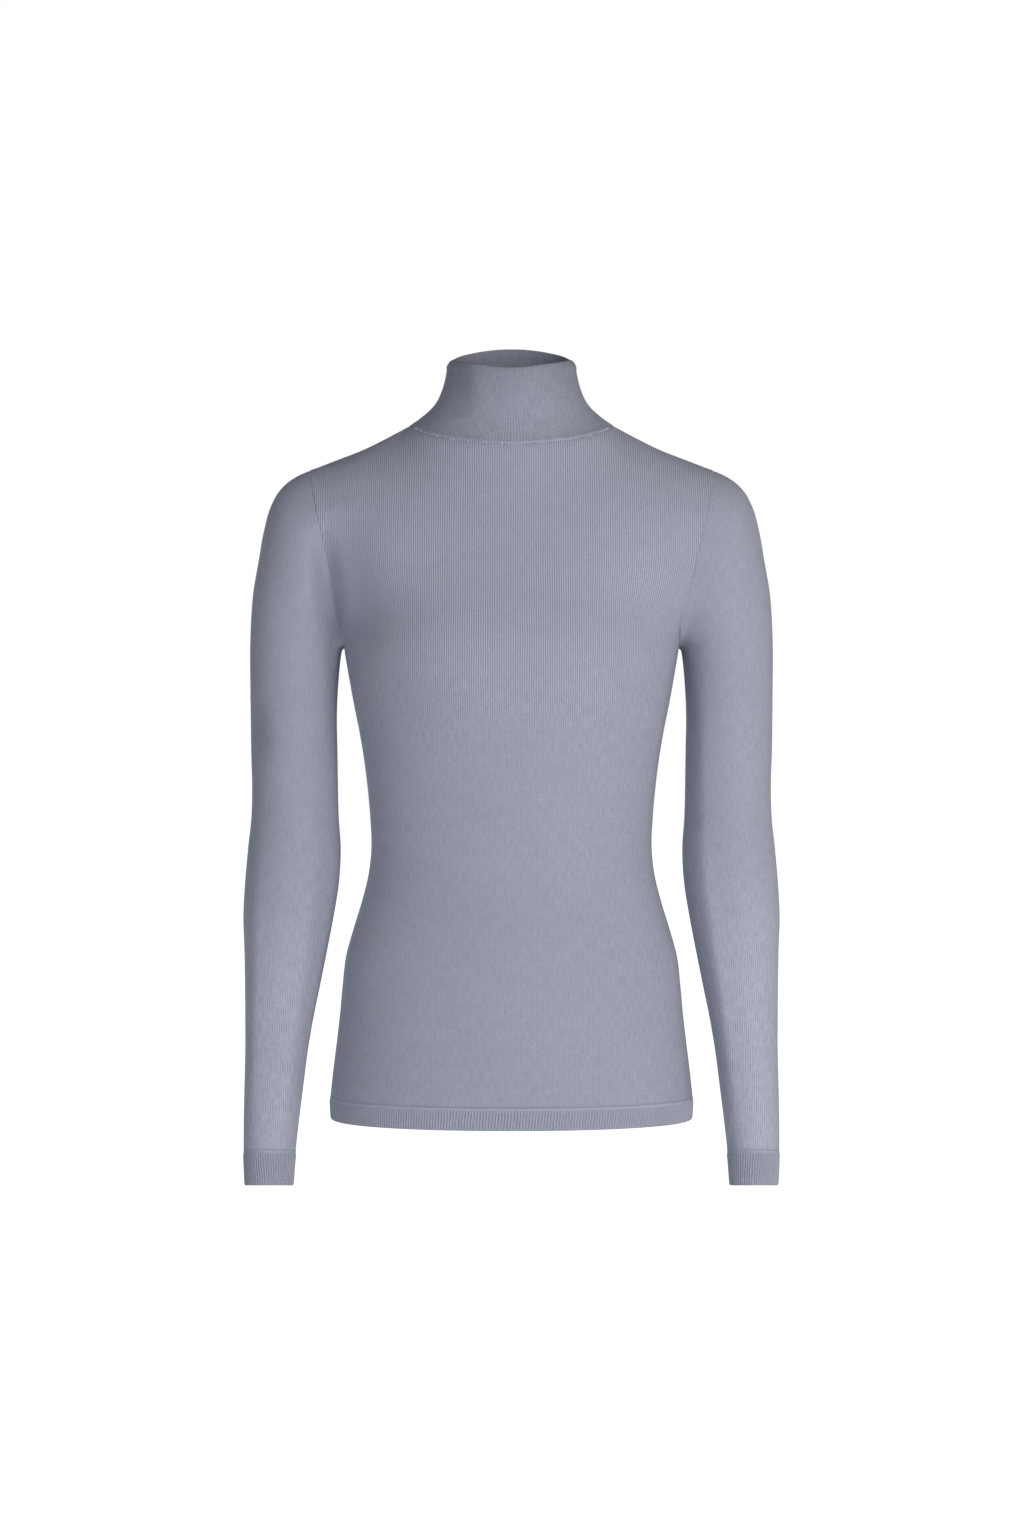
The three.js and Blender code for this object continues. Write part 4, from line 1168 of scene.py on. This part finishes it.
def rib_material(name, colour, tone_depth, bump):
    """Rib: raised columns of loops, the crowns painted lighter, with lines of painted shade
    between them.
    """
    n = Nodes(name)
    place, wale, course = knit_coordinates(n)
    across = n.math("ABSOLUTE", n.math("SUBTRACT", n.math("FRACT", wale), 0.5))
    crown = n.clamped_power(n.math("MULTIPLY_ADD", across, -2.0, 1.0), 0.7)
    swell = n.clamped_power(n.tent(n.math("FRACT", course), 0.5, 0.5), 0.5)
    height = n.math("MULTIPLY", crown, n.math("MULTIPLY_ADD", swell, 0.35, 0.65))
    line = n.vector(n.math("FLOOR", n.math("ADD", wale, 0.5)), n.math("MULTIPLY", course, 0.2))
    uneven = n.noise(line, 1.0, 1.0)
    below_top = n.math("GREATER_THAN", course, TOP_COURSE["length"] / COURSE * 0.9)
    depth = n.math("MULTIPLY", n.math("SUBTRACT", 1.0, crown), below_top)
    depth = n.math("MULTIPLY", depth, n.math("MULTIPLY_ADD", uneven, 1.2, 0.4))
    # Painted shade: the grooves between the ribs are painted darker, the crowns and each loop's
    # swell lighter.
    tone = n.math("MULTIPLY_ADD", depth, -tone_depth, 1 + tone_depth * 0.4)
    tone = n.math("MULTIPLY", tone, n.swing(swell, 0.03))
    return finish_yarn(n, colour, height, tone, place, bump)


def linking_material(name, colour):
    n = Nodes(name)
    place = n.add("ShaderNodeTexCoord").outputs["Object"]
    twist = n.noise(place, 1500.0, 1.0)
    return finish_yarn(n, colour, twist, n.swing(twist, 0.06), place, 0.3)


def scaled(colour, by):
    return tuple(c * by for c in colour)


# Tables of the knit's lines: strength of the painted shade between the wales below and above the
# heights, how even it is, and how much paler the cloth is painted below them as painted light.
BODY_LINES = dict(low=0.27, high=0.72, even=0.8, between=(-300, -190), painted_light=0)
SLEEVE_LINES = dict(low=0.42, high=0.2, even=0.0, between=(-520, -330), painted_light=0.18)
COLLAR_LINES = dict(low=0.4, high=0.4, even=0.3, between=(0, 60), painted_light=0.2)
# Scales of the knit's colour: the collar is painted darker and the insides of cloth and rib
# darker, as painted shade; the linking yarn is painted lighter, as a painted highlight.
SHADES = dict(collar=0.74, inside=0.9, rib_inside=0.85, linking=1.25)
colours = {name: scaled(KNIT_COLOUR, by) for name, by in SHADES.items()}
jersey = jersey_material("jersey_knit", KNIT_COLOUR, BODY_LINES, course_tone=0.05, bump=0.5)
sleeve_jersey = jersey_material("sleeve_knit", KNIT_COLOUR, SLEEVE_LINES, course_tone=0.05,
                                bump=0.4)
collar_jersey = jersey_material("collar_knit", colours["collar"], COLLAR_LINES,
                                course_tone=0.08, bump=0.45)
collar_inside = jersey_material("collar_inside", colours["collar"], COLLAR_LINES,
                                course_tone=0.04, bump=0.45)
purl = purl_material("jersey_inside", colours["inside"], bump=0.5)
rib = rib_material("rib_knit", KNIT_COLOUR, tone_depth=0.34, bump=0.5)
rib_inside = rib_material("rib_inside", colours["rib_inside"], tone_depth=0.25, bump=0.5)
yarn = linking_material("linking_yarn", colours["linking"])

for name, piece in pieces.items():
    ribbed = name.startswith(("hem", "cuff"))
    if ribbed:
        slots = (rib, rib_inside)
    elif name == "collar":
        slots = (collar_jersey, collar_inside)
    elif name.startswith("sleeve"):
        slots = (sleeve_jersey, purl)
    else:
        slots = (jersey, purl)
    for material in slots:
        piece.data.materials.append(material)
    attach(piece, "root")
    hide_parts(name)
for row in linking.values():
    row.data.materials.append(yarn)
    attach(row, "root")


# Stage, lights and camera

FLOOR_Z = -1.15
FLOOR_HALF = 30
FLOOR_COLOUR = (0.85, 0.85, 0.85, 1)
FLOOR_ROUGHNESS = 0.9
floor = mesh_object("floor", np.array([(-1, -1, 0), (1, -1, 0), (1, 1, 0), (-1, 1, 0)])
                    * FLOOR_HALF / MM + (0, 0, FLOOR_Z / MM), [[0, 1, 2, 3]], [(0, 0)] * 4, [0])
paper = Nodes("floor")
paper.shader.inputs["Base Color"].default_value = FLOOR_COLOUR
paper.shader.inputs["Roughness"].default_value = FLOOR_ROUGHNESS
paper.shader.inputs["Emission Color"].default_value = (1, 1, 1, 1)
ray = paper.add("ShaderNodeLightPath")
paper.link(ray.outputs["Is Camera Ray"], paper.shader.inputs["Emission Strength"])
floor.data.materials.append(paper.material)

AMBIENT = 0.15
world = bpy.data.worlds.new("studio")
world.use_nodes = True
sky = world.node_tree
background = sky.nodes["Background"]
background.inputs["Color"].default_value = (1, 1, 1, 1)
ray = sky.nodes.new("ShaderNodeLightPath")
level = sky.nodes.new("ShaderNodeMapRange")
level.inputs["To Min"].default_value = AMBIENT
level.inputs["To Max"].default_value = 1.0
sky.links.new(ray.outputs["Is Camera Ray"], level.inputs["Value"])
sky.links.new(level.outputs[0], background.inputs["Strength"])
bpy.context.scene.world = world
bpy.context.scene.view_settings.view_transform = "Standard"

# Soft lights: where they stand, their size and power; each faces the middle of the sweater
NEUTRAL = (1, 1, 1)
COOL = (0.86, 0.93, 1)
LIGHTS = rows_of(
    "name at size watts colour",
    ("key", (1.55, -2.55, 0.0), 1.7, 59, NEUTRAL), ("fill", (-2.0, -2.2, 0.0), 1.7, 21, COOL),
    ("side", (3.0, -0.7, 0.0), 1.6, 9, NEUTRAL), ("back", (-1.0, 3.0, 0.2), 1.8, 48, COOL))
AIM = np.array((0, 0, -0.3))
for light in LIGHTS:
    data = bpy.data.lights.new(light["name"], "AREA")
    data.shape = "SQUARE"
    data.size = light["size"]
    data.energy = light["watts"]
    data.color = light["colour"]
    lamp = scene_object(light["name"], data)
    lamp.location = light["at"]
    way = AIM - np.array(light["at"])
    lamp.rotation_euler = (math.pi / 2 + math.atan2(way[2], math.hypot(way[0], way[1])), 0,
                           -math.atan2(way[0], way[1]))

CAMERA = (0.00045, -2.9, -0.306)
PICTURE_HEIGHT = 1.3824
SENSOR = 36
camera_data = bpy.data.cameras.new("camera")
camera_data.sensor_width = SENSOR
camera_data.lens = SENSOR * -CAMERA[1] / PICTURE_HEIGHT
camera = scene_object("camera", camera_data)
camera.location = CAMERA
camera.rotation_euler = (math.pi / 2, 0, 0)
bpy.context.scene.camera = camera
